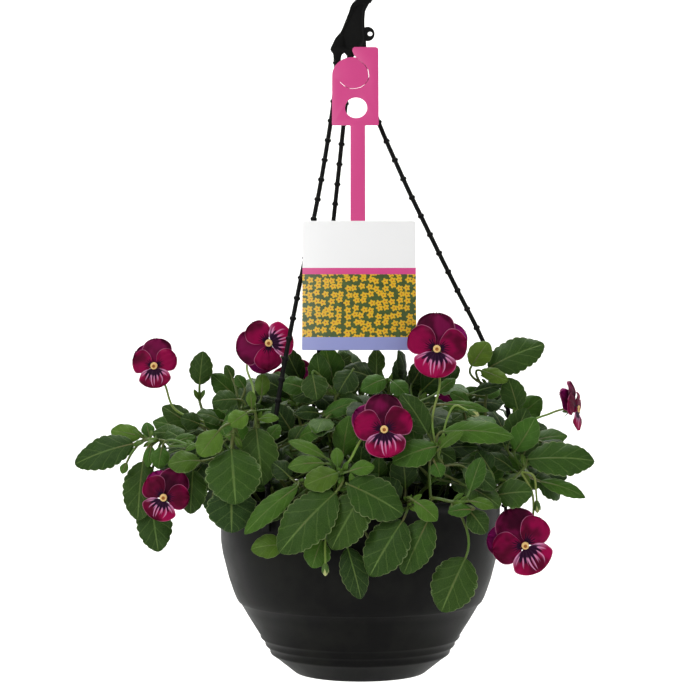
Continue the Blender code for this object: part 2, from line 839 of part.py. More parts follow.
def calyx(name, bloom):
    """Five green points that lean back behind the petals, as one star"""
    root = bloom.back - bloom.face * CALYX_BEHIND
    form = bmesh.new()
    front = form.verts.new(root + bloom.face * CALYX_HALF_THICKNESS)
    back = form.verts.new(root - bloom.face * CALYX_HALF_THICKNESS)
    rim = []
    for number in range(5):
        away = bloom.toward(36 + 72 * number)
        between = bloom.toward(72 + 72 * number)
        rim.append(form.verts.new(root + away * SEPAL_REACH - bloom.face * SEPAL_LEAN))
        rim.append(form.verts.new(root + between * SEPAL_NOTCH))
    for number, corner in enumerate(rim):
        after = rim[(number + 1) % len(rim)]
        form.faces.new((front, corner, after))
        form.faces.new((back, after, corner))
    return from_bmesh(name + "_calyx", form, FOLIAGE)


def flower_stalk_radius(t):
    return FLOWER_STALK_RADIUS if t < 0.92 else FLOWER_STALK_RADIUS * 1.6


def bud_radius(t):
    """A thin stalk that swells into a closed bud at its end"""
    if t < 0.72:
        return FLOWER_STALK_RADIUS * 0.9
    return 1.0 * MM + (BUD_RADIUS - 1.0 * MM) * math.sin(math.pi * (t - 0.72) / 0.30)


# Leafy stems that the front shows. Each has its root in the soil (x, y), the points of its
# stem, its leaves as kind, share of the stem, base and tip of the blade and width, and its
# flowers and buds as name, share of the stem and points of the stalk

SHOOTS = [
    ("left_far", (-96, -24), [(-124, -40, -465), (-152, -46, -444), (-175, -50, -438),
                              (-188, -52, -438)], [
        ("dark", 0.98, (-196, -54, -441), (-247, -52, -459), 32),
        ("light", 0.95, (-190, -48, -435), (-217, -44, -430), 18),
        ("dark", 0.93, (-187, -60, -456), (-192, -58, -507), 32),
        ("dark", 0.88, (-181, -52, -490), (-175, -50, -535), 32),
        ("mid", 0.90, (-180, -58, -443), (-183, -62, -461), 11),
        ("mid", 0.92, (-183, -44, -436), (-187, -38, -423), 12),
        ("young", 1.00, (-200, -68, -456), (-204, -70, -466), 8),
    ], []),
    ("left_front", (-84, -52), [(-117, -70, -450), (-133, -72, -439), (-147, -74, -443)], [
        ("dark", 0.90, (-143, -72, -463), (-145, -74, -500), 27),
        ("young", 0.70, (-135, -86, -454), (-163, -90, -457), 22),
        ("mid", 0.98, (-170, -66, -443), (-173, -70, -462), 17),
        ("mid", 0.95, (-162, -60, -441), (-142, -52, -435), 12),
        ("dark", 0.98, (-154, -50, -438), (-168, -40, -430), 19),
    ], [("bloom_6", 1.0, [(-155, -70, -456), (-163, -68, -474)])]),
    ("left_round", (-66, -78), [(-101, -110, -435), (-103, -122, -418), (-105, -136, -429)], [
        ("dark", 1.00, (-106, -140, -441), (-102, -146, -486), 47),
        ("light", 0.90, (-116, -142, -426), (-131, -150, -446), 23),
        ("light", 0.60, (-94, -128, -412), (-108, -134, -422), 18),
        ("deep", 0.95, (-106, -134, -473), (-106, -136, -510), 43),
    ], []),
    ("left_inner", (-52, -68), [(-84, -84, -445), (-86, -96, -423), (-89, -104, -411)], [
        ("dark", 0.90, (-87, -126, -425), (-81, -134, -472), 33),
        ("young", 1.00, (-91, -108, -409), (-92, -106, -394), 9),
        ("young", 0.90, (-85, -110, -418), (-68, -114, -417), 9),
        ("mid", 0.50, (-78, -100, -436), (-68, -96, -423), 13),
    ], [("bloom_2", 0.98, [(-90, -74, -392), (-96, -48, -372)])]),
    ("left_top", (-74, -4), [(-132, -8, -440), (-138, -6, -422), (-143, -4, -406)], [
        ("dark", 1.00, (-143, -4, -391), (-140, -2, -361), 22),
        ("mid", 0.70, (-129, -14, -417), (-114, -20, -412), 10),
        ("dark", 0.50, (-142, -12, -426), (-159, -14, -420), 18),
    ], [("bloom_1", 0.85, [(-164, -10, -413), (-173, -8, -392)])]),
    ("left_buds", (-46, -28), [(-100, -34, -434), (-105, -36, -414), (-108, -36, -402)], [
        ("dark", 0.80, (-107, -42, -403), (-129, -46, -405), 21),
        ("mid", 0.95, (-101, -36, -393), (-109, -34, -382), 11),
        ("light", 0.90, (-86, -40, -400), (-85, -36, -381), 14),
        ("dark", 0.98, (-112, -32, -385), (-118, -30, -373), 10),
    ], []),
    ("front_left_low", (-38, -98), [(-45, -128, -473), (-51, -134, -468)], [
        ("mid", 1.00, (-52, -139, -472), (-95, -146, -510), 19),
        ("young", 0.90, (-59, -137, -520), (-90, -140, -523), 21),
        ("dark", 0.80, (-56, -136, -483), (-81, -134, -501), 16),
        ("deep", 0.60, (-58, -128, -465), (-73, -122, -453), 18),
    ], []),
    ("front_left", (-16, -92), [(-24, -126, -466), (-19, -136, -462), (-15, -142, -461)], [
        ("light", 1.00, (-19, -147, -460), (-46, -152, -470), 22),
        ("dark", 0.96, (-21, -150, -476), (-66, -156, -524), 41),
        ("young", 0.80, (-29, -140, -453), (-60, -142, -456), 16),
        ("young", 0.75, (-28, -134, -449), (-60, -130, -435), 11),
        ("young", 0.60, (-19, -140, -456), (-20, -136, -440), 11),
        ("young", 0.70, (-10, -146, -459), (11, -144, -455), 14),
    ], [("bloom_5", 0.90, [(-9, -140, -450), (2, -128, -432)]),
        ("bud", 1.00, [(-24, -142, -490), (-29, -146, -515), (-29, -150, -532),
                       (-29, -150, -543)])]),
    ("front_middle", (6, -96), [(-7, -132, -475), (-6, -140, -471), (-7, -144, -473)], [
        ("dark", 1.00, (1, -147, -477), (-24, -148, -522), 37),
        ("dark", 0.96, (-11, -150, -469), (34, -146, -494), 38),
        ("deep", 0.90, (-11, -138, -522), (0, -138, -564), 24),
        ("mid", 0.70, (-32, -142, -515), (-40, -142, -538), 24),
        ("mid", 0.80, (7, -136, -516), (16, -136, -532), 18),
    ], []),
    ("front_right", (32, -92), [(36, -126, -488), (40, -134, -485), (39, -138, -489)], [
        ("dark", 1.00, (34, -145, -499), (7, -148, -544), 37),
        ("dark", 0.97, (55, -140, -499), (35, -142, -543), 31),
        ("young", 0.85, (43, -142, -483), (62, -148, -499), 18),
        ("deep", 0.50, (31, -124, -484), (16, -118, -466), 22),
    ], []),
    ("front_right_low", (60, -80), [(59, -122, -483), (74, -128, -485), (83, -130, -486)], [
        ("mid", 0.90, (91, -134, -491), (71, -138, -493), 12),
        ("young", 1.00, (89, -134, -484), (109, -138, -489), 11),
        ("dark", 0.96, (90, -130, -493), (103, -130, -511), 21),
        ("dark", 0.90, (86, -132, -531), (66, -134, -575), 39),
        ("mid", 0.90, (90, -126, -476), (100, -120, -449), 17),
        ("mid", 0.50, (61, -124, -453), (66, -128, -465), 14),
    ], []),
    ("front_centre", (40, -66), [(67, -100, -461), (64, -110, -448), (64, -112, -442)], [
        ("mid", 1.00, (63, -118, -440), (26, -126, -453), 25),
        ("mid", 0.95, (69, -112, -428), (128, -106, -433), 22),
        ("young", 0.98, (65, -120, -442), (85, -122, -427), 10),
        ("dark", 0.90, (56, -104, -430), (34, -98, -397), 24),
        ("mid", 0.80, (70, -92, -406), (109, -88, -412), 10),
    ], [("bloom_3", 0.95, [(60, -100, -419), (67, -86, -388)]),
        ("bud", 0.90, [(72, -98, -420), (79, -95, -407), (88, -96, -410), (99, -98, -415)])]),
    ("centre_top", (10, -40), [(27, -50, -429), (26, -54, -403), (24, -56, -390)], [
        ("mid", 1.00, (22, -62, -385), (0, -68, -395), 19),
        ("mid", 0.90, (27, -63, -387), (40, -68, -399), 17),
        ("dark", 0.90, (14, -50, -381), (14, -44, -359), 16),
        ("mid", 0.85, (67, -62, -396), (82, -60, -385), 11),
        ("deep", 0.50, (27, -56, -413), (10, -60, -410), 21),
    ], []),
    ("centre_left", (-24, -46), [(-26, -60, -437), (-23, -64, -412), (-21, -66, -399)], [
        ("dark", 1.00, (-41, -70, -381), (-37, -78, -403), 24),
        ("deep", 0.98, (-7, -64, -378), (-19, -70, -397), 24),
        ("mid", 0.85, (-31, -70, -416), (-2, -74, -404), 16),
        ("deep", 0.60, (-36, -74, -428), (-53, -78, -435), 19),
        ("mid", 0.70, (-7, -96, -448), (-13, -92, -433), 16),
        ("dark", 0.75, (-58, -84, -440), (-49, -80, -425), 17),
    ], []),
    ("right_top", (64, -30), [(105, -30, -430), (110, -28, -404), (114, -28, -385)], [
        ("dark", 1.00, (112, -32, -376), (162, -24, -355), 33),
        ("light", 0.95, (97, -38, -374), (112, -34, -353), 22),
        ("light", 0.90, (105, -42, -378), (128, -46, -387), 15),
        ("deep", 0.60, (99, -40, -397), (124, -36, -391), 12),
        ("mid", 0.70, (95, -44, -408), (78, -44, -397), 14),
    ], []),
    ("right_bright", (92, -20), [(130, -28, -457), (136, -32, -430), (138, -34, -415)], [
        ("dark", 1.00, (137, -38, -412), (129, -34, -384), 24),
        ("young", 0.60, (139, -48, -450), (138, -46, -414), 12),
        ("mid", 0.50, (139, -44, -464), (131, -40, -450), 16),
    ], [("bloom_4", 0.60, [(148, -22, -426), (168, -18, -416)])]),
    ("right_low", (88, -52), [(125, -82, -472), (134, -84, -465), (139, -84, -460)], [
        ("dark", 1.00, (142, -80, -453), (200, -72, -455), 32),
        ("mid", 0.95, (153, -76, -472), (192, -74, -486), 14),
        ("dark", 0.80, (115, -98, -482), (144, -102, -479), 28),
        ("deep", 0.50, (109, -92, -461), (99, -88, -446), 20),
    ], [("bloom_7", 0.95, [(145, -92, -482), (144, -94, -508)]),
        ("bud", 0.95, [(146, -90, -466), (148, -92, -480), (149, -93, -497)])]),
]

# Leafy stems behind those of the front, by a rule
BACK_SHOOTS = 8
BACK_FIRST_TURN = 7
BACK_LAST_TURN = 173
BACK_TURN_SPREAD = 3
BACK_REACH = (138 * MM, 160 * MM)
BACK_HEIGHT = (-455 * MM, -436 * MM)
BACK_ROOTS = (76 * MM, 94 * MM)
BACK_SHARES = (0.42, 0.58, 0.74, 0.88, 1.0)
UPRIGHT_TURNS = (35, 90, 148, -165, -30)
UPRIGHT_ROOT = 46 * MM
UPRIGHT_STEM = [(50 * MM, -450 * MM), (58 * MM, -410 * MM)]
UPRIGHT_SHARES = (0.5, 0.7, 0.9, 1.0)
UPRIGHT_LEAF_SIZE = 0.9

# Leaves of those stems: how far they turn to the side, the last one's swing, how far the blade
# starts from the stem, its length, droop and width as a share of its length
LEAF_SIDE_TURN = (38, 78)
LEAF_END_SWING = 14
LEAF_START = (9 * MM, 16 * MM)
LEAF_RISE = 5 * MM
LEAF_LENGTH = (38, 57)
LEAF_DROOP = (0.05, 0.85)
LEAF_WIDTH_SHARE = (0.58, 0.74)
LEAF_KINDS = ("dark", "dark", "mid", "deep")
BACK_FLOWERS = [("back_6", "bloom_8", 0.8, [(-78, 108, -425)]),
                ("back_3", "bloom_9", 0.9, [(92, 98, -440)])]


def back_shoots(draw):
    """Stems over the back of the rim, and short upright ones in the middle"""
    made = []
    for index in range(BACK_SHOOTS):
        turn = BACK_FIRST_TURN + (BACK_LAST_TURN - BACK_FIRST_TURN) * index / (BACK_SHOOTS - 1)
        turn += draw.uniform(-BACK_TURN_SPREAD, BACK_TURN_SPREAD)
        reach = draw.uniform(*BACK_REACH)
        root = around(draw.choice(BACK_ROOTS), turn, 0)
        height = draw.uniform(*BACK_HEIGHT)
        stem = [around(reach * 0.78, turn, height), around(reach * 0.92, turn + 3, height + 4 * MM),
                around(reach, turn + 5, height - 6 * MM)]
        made.append((f"back_{index + 1}", root, stem, turn, BACK_SHARES, 1.0))
    for index, turn in enumerate(UPRIGHT_TURNS):
        root = around(UPRIGHT_ROOT, turn, 0)
        stem = [around(reach, turn, height) for reach, height in UPRIGHT_STEM]
        made.append((f"upright_{index + 1}", root, stem, turn, UPRIGHT_SHARES, UPRIGHT_LEAF_SIZE))
    return made


def rule_leaves(draw, line, turn, shares, size):
    """Leaves to each side in turn along a stem, the last one at its tip"""
    total = line_length(line)
    made = []
    for number, share in enumerate(shares):
        side = (1 if number % 2 else -1) * draw.uniform(*LEAF_SIDE_TURN)
        if number == len(shares) - 1:
            side = draw.uniform(-LEAF_END_SWING, LEAF_END_SWING)
        away = around(1, turn + side, 0)
        start = along(line, share * total)
        length = draw.uniform(*LEAF_LENGTH) * size * MM
        droop = draw.uniform(*LEAF_DROOP)
        base = start + away * draw.uniform(*LEAF_START) + Vector((0, 0, LEAF_RISE))
        tip = base + (away - Vector((0, 0, droop))).normalized() * length
        look = around(0.7, turn + side * 0.5, 0.7)
        kind = draw.choice(LEAF_KINDS)
        blade = Blade(kind, base, tip, length * draw.uniform(*LEAF_WIDTH_SHARE), look)
        made.append((blade, start))
    return made


def stem_line(root, points):
    soil = POT_BASE_Z + SOIL_HEIGHT
    return [Vector((root.x, root.y, soil - STEM_DEPTH)),
            Vector((root.x, root.y, soil + 4 * MM))] + points


def build_plant():
    for name, settings in BLOOMS.items():
        build_bloom(name, Bloom(*settings))
    draw = random.Random(SEED)
    pieces = {}
    lines = {}
    fronts = [(name, place(*root, 0), [place(*point) for point in stem])
              for name, root, stem, _, _ in SHOOTS]
    backs = back_shoots(draw)
    for name, root, stem in fronts + [entry[:3] for entry in backs]:
        node = "shoot_" + name
        points = stem_line(root, stem)
        taper = lambda t: STEM_RADIUS * (1 - 0.25 * t)
        line, body = set_tube(node, points, taper, range(2, len(points)))
        lines[name] = line
        pieces[name] = [body]
    for name, _, _, _, flowers in SHOOTS:
        for kind, share, route in flowers:
            add_flower(name, kind, share, route, lines[name], pieces[name])
    for name, flower, share, route in BACK_FLOWERS:
        add_flower(name, flower, share, route, lines[name], pieces[name])
    for name, _, _, leaves, _ in SHOOTS:
        total = line_length(lines[name])
        for kind, share, base, tip, width in leaves:
            blade = Blade(kind, place(*base), place(*tip), width * MM, FRONT_LOOK)
            root = along(lines[name], share * total)
            add_leaf(name, blade, root, Vector((0, -1, 0)), pieces[name])
    for name, _, _, turn, shares, size in backs:
        for blade, root in rule_leaves(draw, lines[name], turn, shares, size):
            add_leaf(name, blade, root, around(0.5, turn, 0.8), pieces[name])
    for name, parts in pieces.items():
        fuse("shoot_" + name, parts, FOLIAGE)
    return [place(*root, 0) for _, root, _, _, _ in SHOOTS] + [entry[1] for entry in backs]


def add_flower(name, kind, share, route, line, parts):
    start = along(line, share * line_length(line))
    points = [start] + [place(*point) for point in route]
    node = "shoot_" + name
    if kind == "bud":
        _, body = set_tube(node, points, bud_radius, range(1, len(points)))
        parts.append(body)
        return
    bloom = Bloom(*BLOOMS[kind])
    points += [bloom.back - bloom.face * 8 * MM, bloom.back]
    _, body = set_tube(node, points, flower_stalk_radius, range(1, len(points) - 2))
    parts.append(body)
    parts.append(calyx(node + "_" + kind, bloom))


def add_leaf(name, blade, root, push, parts):
    node = "shoot_" + name
    found = set_leaf(node, blade, root, push)
    if found is None:
        print("left out a leaf of", node, blade.kind, tuple(round(v / MM) for v in blade.base))
        return
    moved, stalk = found
    parts.append(blade_object(f"{node}_leaf_{len(parts)}", moved, stalk, LEAF_STALK_RADIUS,
                              FOLIAGE))


keep_object(build_pot(), "pot", "body")
soil = build_soil()
keep_object(soil, "soil", "soil")
keep_object(build_hub(), "hanger_hub", "body")
for strand in STRAND_TURNS:
    keep_object(build_strand(strand), "strand_" + strand, "body")
keep_object(build_tag(), "hang_tag", "body")
drill(soil, build_plant())
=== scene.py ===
import math
import random

import bmesh
import bpy
from mathutils import Matrix, Vector
from mathutils.bvhtree import BVHTree
from mathutils.kdtree import KDTree


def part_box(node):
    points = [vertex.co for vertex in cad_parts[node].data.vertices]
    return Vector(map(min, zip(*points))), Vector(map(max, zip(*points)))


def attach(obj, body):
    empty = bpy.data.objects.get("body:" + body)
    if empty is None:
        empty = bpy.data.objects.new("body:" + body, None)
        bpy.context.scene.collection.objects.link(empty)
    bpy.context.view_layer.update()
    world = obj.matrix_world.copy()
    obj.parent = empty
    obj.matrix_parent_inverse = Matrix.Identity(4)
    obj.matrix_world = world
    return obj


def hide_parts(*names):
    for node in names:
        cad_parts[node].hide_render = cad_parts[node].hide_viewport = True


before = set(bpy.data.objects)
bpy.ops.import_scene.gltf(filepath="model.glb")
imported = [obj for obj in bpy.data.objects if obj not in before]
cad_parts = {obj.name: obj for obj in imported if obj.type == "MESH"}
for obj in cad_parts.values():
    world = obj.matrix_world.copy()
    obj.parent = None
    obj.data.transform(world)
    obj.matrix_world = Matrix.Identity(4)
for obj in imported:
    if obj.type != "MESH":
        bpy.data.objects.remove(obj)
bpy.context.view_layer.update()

# Pot
# One bowl injection moulded in black polypropylene, with a rolled rim, a step below the middle
# and three raised rings near the foot. The mould's fine spark eroded grain makes it matt, and
# handling leaves a thin grey bloom of dust and dried water on it.

MM = 0.001
POT_LOW, POT_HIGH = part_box("pot")
POT_FLOOR_MM = 2.5
POT_SIDES = 144
RING_HEIGHTS_MM = (31, 24, 17)
RING_HALF_MM = 1.7
RING_RISE_MM = 1.0
RING_WALL_MM = ((78, 15.5), (98, 47.5))
DRAIN_RADIUS_MM = 4.0
DRAIN_CIRCLE_MM = 32
# The pot's wall as radius and height over its foot: rim and upper wall, lower wall, inside
POT_UPPER_MM = [(124.3, 157.4), (125.0, 158.0), (126.2, 157.9), (127.2, 157.0), (127.5, 155.4),
                (127.4, 153.6), (126.6, 151.6), (125.2, 150.2), (124.7, 148.0), (124.5, 138),
                (124.0, 117), (122.4, 106), (119.7, 95.5), (116.9, 84.5), (113.4, 74),
                (110.9, 67.5), (108.8, 63.5), (107.6, 62.3), (106.4, 61.6), (102.6, 55.2),
                (98.0, 47.5)]
POT_LOWER_MM = [(74.0, 12.6), (66.0, 6.2), (62.0, 3.0), (59.6, 1.0), (58.0, 0.0), (30, 0), (0, 0)]
POT_INNER_MM = [(0, POT_FLOOR_MM), (50, 2.9), (57, 3.5), (61, 6.0), (84, 29.5), (104, 61.5),
                (112, 79), (117.4, 95), (120.6, 112), (122.2, 135), (123.2, 152), (123.6, 156.4)]
PLASTIC_BLACK = "0d0d0d"
PLASTIC_GREY = "23241f"


def linear(colour):
    """Linear colour from an sRGB hex value"""
    parts = [int(colour[start:start + 2], 16) / 255 for start in (0, 2, 4)]
    return [part / 12.92 if part <= 0.04045 else ((part + 0.055) / 1.055) ** 2.4
            for part in parts] + [1]


def join(material, node, inputs):
    """Links each input of a node to a socket or to a node's first live output, or sets it"""
    for name, value in inputs.items():
        if isinstance(value, bpy.types.Node):
            value = next(output for output in value.outputs if output.enabled)
        if isinstance(value, bpy.types.NodeSocket):
            material.node_tree.links.new(value, node.inputs[name])
        else:
            node.inputs[name].default_value = linear(value) if isinstance(value, str) else value


def add(material, kind, inputs, **settings):
    """Node with its settings and its inputs"""
    node = material.node_tree.nodes.new("ShaderNode" + kind)
    for name, value in settings.items():
        setattr(node, name, value)
    join(material, node, inputs)
    return node


def finish_named(name):
    """Material with an empty node tree, and its Principled shader"""
    made = bpy.data.materials.new(name)
    made.use_nodes = True
    return made, made.node_tree.nodes["Principled BSDF"]


def moulded_plastic(name, grain_mm, dust):
    """Black polypropylene: a soft sheen broken by the mould's grain, and greyed in patches

    The grain is drawn at about a millimetre, as the real one of a tenth wouldn't show. Little is
    mirrored, because the fine grain scatters nearly all of the light. Texture scales are cells
    to the metre, so that 22 makes patches of 45 mm.
    """
    made, shader = finish_named(name)
    place = add(made, "TexCoord", {}).outputs["Object"]
    grain = add(made, "TexNoise", {"Vector": place, "Scale": 1 / (grain_mm * MM), "Detail": 3.0})
    drift = add(made, "TexNoise", {"Vector": place, "Scale": 22.0, "Detail": 5.0,
                                   "Roughness": 0.62})
    dusted = add(made, "MapRange", {"Value": drift, "From Min": 0.42, "From Max": 0.72,
                                    "To Max": dust})
    gloss = add(made, "MapRange", {"Value": drift, "From Min": 0.3, "From Max": 0.7,
                                   "To Min": 0.42, "To Max": 0.58})
    join(made, shader, {
        "Base Color": add(made, "Mix", {0: dusted, 6: PLASTIC_BLACK, 7: PLASTIC_GREY},
                          data_type="RGBA"),
        "Roughness": gloss, "IOR": 1.49, "Specular IOR Level": 0.10,
        "Normal": add(made, "Bump", {"Height": grain, "Strength": 0.35, "Distance": 0.12 * MM})})
    return made


def piece(name, mesh, finishes, slot, *nodes):
    """Mesh object that rides on the root and stands for CAD nodes"""
    for finish in finishes:
        mesh.materials.append(finish)
    made = bpy.data.objects.new(name, mesh)
    bpy.context.scene.collection.objects.link(made)
    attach(made, "root")
    if nodes:
        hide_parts(*nodes)
    return made


def smooth_mesh(form, name, sharp_degrees=35):
    """Mesh from a bmesh, shaded smooth but for its sharp edges"""
    bmesh.ops.recalc_face_normals(form, faces=form.faces)
    for face in form.faces:
        face.smooth = True
    for edge in form.edges:
        if len(edge.link_faces) == 2:
            edge.smooth = edge.calc_face_angle() < math.radians(sharp_degrees)
    mesh = bpy.data.meshes.new(name)
    form.to_mesh(mesh)
    form.free()
    return mesh


def turned(profile, sides, low):
    """Closed body turned round Z from (radius, height) points in mm that start on the axis"""
    form = bmesh.new()
    rings = []
    for radius, height in profile:
        if radius == 0:
            rings.append([form.verts.new((0, 0, low + height * MM))])
            continue
        ring = []
        for side in range(sides):
            turn = 2 * math.pi * side / sides
            ring.append(form.verts.new((radius * MM * math.cos(turn), radius * MM * math.sin(turn),
                                        low + height * MM)))
        rings.append(ring)
    for ring, following in zip(rings, rings[1:]):
        for side in range(sides):
            after = (side + 1) % sides
            corners = [ring[side % len(ring)], ring[after % len(ring)],
                       following[after % len(following)], following[side % len(following)]]
            form.faces.new(list(dict.fromkeys(corners)))
    return form


def rounded_ring(height):
    """Four points over a raised ring, top to bottom"""
    (low_radius, low), (high_radius, high) = RING_WALL_MM
    slope = (high_radius - low_radius) / (high - low)
    wall = low_radius + slope * (height - low)
    half = RING_HALF_MM
    return [(wall + slope * half, height + half),
            (wall + slope * half * 0.35 + RING_RISE_MM * 0.9, height + half * 0.35),
            (wall - slope * half * 0.35 + RING_RISE_MM * 0.9, height - half * 0.35),
            (wall - slope * half, height - half)]


def evaluated_mesh(body):
    """Mesh of an object with its modifiers or curve settings applied"""
    graph = bpy.context.evaluated_depsgraph_get()
    return bpy.data.meshes.new_from_object(body.evaluated_get(graph))


def boolean(body, cutter_form, operation):
    """Applies a Boolean with a passing cutter"""
    mesh = bpy.data.meshes.new("cutter")
    cutter_form.to_mesh(mesh)
    cutter_form.free()
    cutter = bpy.data.objects.new("cutter", mesh)
    bpy.context.scene.collection.objects.link(cutter)
    step = body.modifiers.new("cut", "BOOLEAN")
    step.operation = operation
    step.object = cutter
    step.solver = "EXACT"
    mesh = evaluated_mesh(body)
    body.modifiers.clear()
    body.data = mesh
    bpy.data.objects.remove(cutter)


pot_profile = POT_INNER_MM + POT_UPPER_MM
for ring_height in RING_HEIGHTS_MM:
    pot_profile += rounded_ring(ring_height)
pot_profile += POT_LOWER_MM
pot_mesh = smooth_mesh(turned(pot_profile, POT_SIDES, POT_LOW.z), "pot_bowl", 50)
pot_plastic = moulded_plastic("spark_grained_polypropylene", 0.8, 0.55)
pot_bowl = piece("pot_bowl", pot_mesh, [pot_plastic], "pot_plastic", "pot")
drill_form = bmesh.new()
for quarter in range(4):
    turn = math.radians(45 + 90 * quarter)
    hole = bmesh.ops.create_cone(drill_form, cap_ends=True, segments=32,
                                 radius1=DRAIN_RADIUS_MM * MM, radius2=DRAIN_RADIUS_MM * MM,
                                 depth=8 * POT_FLOOR_MM * MM)
    middle = Vector((math.cos(turn), math.sin(turn), 0)) * DRAIN_CIRCLE_MM * MM
    bmesh.ops.translate(drill_form, verts=hole["verts"], vec=middle + Vector((0, 0, POT_LOW.z)))

boolean(pot_bowl, drill_form, "DIFFERENCE")

# Hanger hub
# The black polypropylene head that the three strands hang from: a flat moulding with rounded
# edges and a shallow rim all round its face, a small eyelet beside the shank and a plain hook.

HUB_HALF_MM = 3.0
HUB_EDGE_MM = 1.0
WEB_DEPTH_MM = 0.8
HOOK_INNER_MM = 18
HOOK_OUTER_MM = 28
HOOK_CENTRE_MM = (0, -HOOK_INNER_MM)
HOOK_TIP_MM = (-22.4, -24.5)
HOOK_TIP_RADIUS_MM = 4.8
HUB_SHOULDER_MM = [(18.9, -37.6), (14.0, -43.2)]
EYELET_RADIUS_MM = 6.3
EYELET_BORE_MM = 2.2
EYELET_MM = (6.7, -77.8)
HUB_LEFT_MM = [(-23.5, -103), (-24.1, -95), (-27, -92), (-22, -81.5), (-17, -76), (-6.2, -49)]
HUB_RIGHT_MM = [(9.0, -48.8), (4.6, -57), (4.0, -64), (4.0, -71), (5.5, -86), (6.3, -103)]
HUB_ARCHES_MM = [(0.4, -103), (-0.6, -98), (-3.2, -95), (-5.8, -98), (-6.4, -103),
                 (-11.6, -103), (-11.8, -97), (-14.0, -94.4), (-16.6, -96.5), (-17.5, -103)]
WEB_MM = [(-12.8, -90), (-15.5, -77.5), (-3.2, -52.5), (3.8, -52.6), (1.2, -58), (0.6, -66),
          (1.6, -84), (-2.5, -90)]


def arc(centre, radius, first, last, steps):
    """Points on an arc in the XZ plane, in mm and degrees"""
    turns = [math.radians(first + (last - first) * step / steps) for step in range(steps + 1)]
    return [(centre[0] + radius * math.cos(turn), centre[1] + radius * math.sin(turn))
            for turn in turns]


def sheet(name, outlines, half_mm, edge_mm):
    """Flat body in the XZ plane with rounded edges, from outlines in mm"""
    data = bpy.data.curves.new(name, "CURVE")
    data.dimensions = "2D"
    data.fill_mode = "BOTH"
    data.extrude = (half_mm - edge_mm) * MM
    data.bevel_depth = edge_mm * MM
    data.offset = -edge_mm * MM
    data.bevel_resolution = 2
    for outline in outlines:
        spline = data.splines.new("POLY")
        spline.points.add(len(outline) - 1)
        spline.use_cyclic_u = True
        for point, (x, z) in zip(spline.points, outline):
            point.co = (x * MM, z * MM, 0, 1)
    flat = bpy.data.objects.new(name, data)
    bpy.context.scene.collection.objects.link(flat)
    mesh = evaluated_mesh(flat)
    bpy.data.objects.remove(flat)
    form = bmesh.new()
    form.from_mesh(mesh)
    bmesh.ops.remove_doubles(form, verts=form.verts, dist=0.002 * MM)
    form.transform(Matrix.Rotation(math.radians(90), 4, "X"))
    return form


def rounded(points, reach):
    """Outline with each corner cut back by a small arc of three points"""
    made = []
    for index, corner in enumerate(points):
        before = Vector(points[index - 1])
        after = Vector(points[(index + 1) % len(points)])
        here = Vector(corner)
        cut = min(reach, (before - here).length * 0.45, (after - here).length * 0.45)
        start = here + (before - here).normalized() * cut
        end = here + (after - here).normalized() * cut
        made += [tuple(start), tuple((start + end + here * 2) / 4), tuple(end)]
    return made


hook_inside = arc(HOOK_CENTRE_MM, HOOK_INNER_MM, -58, 196, 40)
hook_end = arc(HOOK_TIP_MM, HOOK_TIP_RADIUS_MM, 16, -164, 12)
hook_outside = arc(HOOK_CENTRE_MM, HOOK_OUTER_MM, 196, -30, 44)
hub_outline = (rounded(HUB_LEFT_MM, 1.6)[1:] + hook_inside + hook_end[1:-1] + hook_outside
               + HUB_SHOULDER_MM + rounded(HUB_RIGHT_MM, 2.0)[:-1]
               + rounded(HUB_ARCHES_MM, 0.9))
hub_mesh = smooth_mesh(sheet("hub", [hub_outline], HUB_HALF_MM, HUB_EDGE_MM), "hub")
hanger_plastic = moulded_plastic("satin_moulded_polypropylene", 1.1, 0.25)
hub_body = piece("hanger_hub_body", hub_mesh, [hanger_plastic], "hanger_plastic", "hanger_hub")
for side in (-1, 1):
    pocket = sheet("web", [rounded(WEB_MM, 1.2)], WEB_DEPTH_MM, 0.3)
    bmesh.ops.translate(pocket, verts=pocket.verts, vec=(0, side * HUB_HALF_MM * MM, 0))
    boolean(hub_body, pocket, "DIFFERENCE")
eyelet = sheet("eyelet", [arc(EYELET_MM, EYELET_RADIUS_MM, 0, 350, 35)], 2.0, 0.7)
boolean(hub_body, eyelet, "UNION")
bore_centre = (EYELET_MM[0] + EYELET_BORE_MM, EYELET_MM[1])
boolean(hub_body, sheet("bore", [arc(bore_centre, EYELET_BORE_MM, 0, 345, 23)], 9, 0.01),
        "DIFFERENCE")

# Strands
# Three round polypropylene cords moulded with small knobs along them. Each swells where it
# leaves its leg of the hub, and ends in a clip that snaps over the pot's rim.

CORD_RADIUS_MM = 2.0
CORD_SIDES = 14
KNOB_PITCH_MM = 18.5
KNOB_HALF_MM = 1.5
KNOB_RISE = 0.50
END_SWELL_MM = 11
END_RISE = 0.55
CORD_STEP_MM = 0.7
CLIP_HALF_MM = 4
STRAND_FOOT_MM = 127.6
FOOT_OVER_RIM_MM = 2.6
LEG_ENDS_MM = {"left": (-20.5, 0, -103.6), "back": (-9.0, 0, -103.6), "right": (3.3, 0, -103.6)}
STRAND_ROUTES_MM = {
    "left": [(-25, -12, -150), (-37, -31, -226), (-53, -54, -306), (-68, -78, -390),
             (-77, -98, -462)],
    "back": [(-13, 12, -140), (-24, 42, -240), (-36, 74, -340), (-45, 102, -430),
             (-50, 117, -470)],
    "right": [(12, -3, -145), (37, -8, -205), (58, -14, -250), (83, -21, -302),
              (107, -24, -350), (127, -24, -400), (133, -20, -440), (130.5, -17, -470)],
}
STRAND_TURNS = {"left": -127.5, "back": 112.5, "right": -7.5}
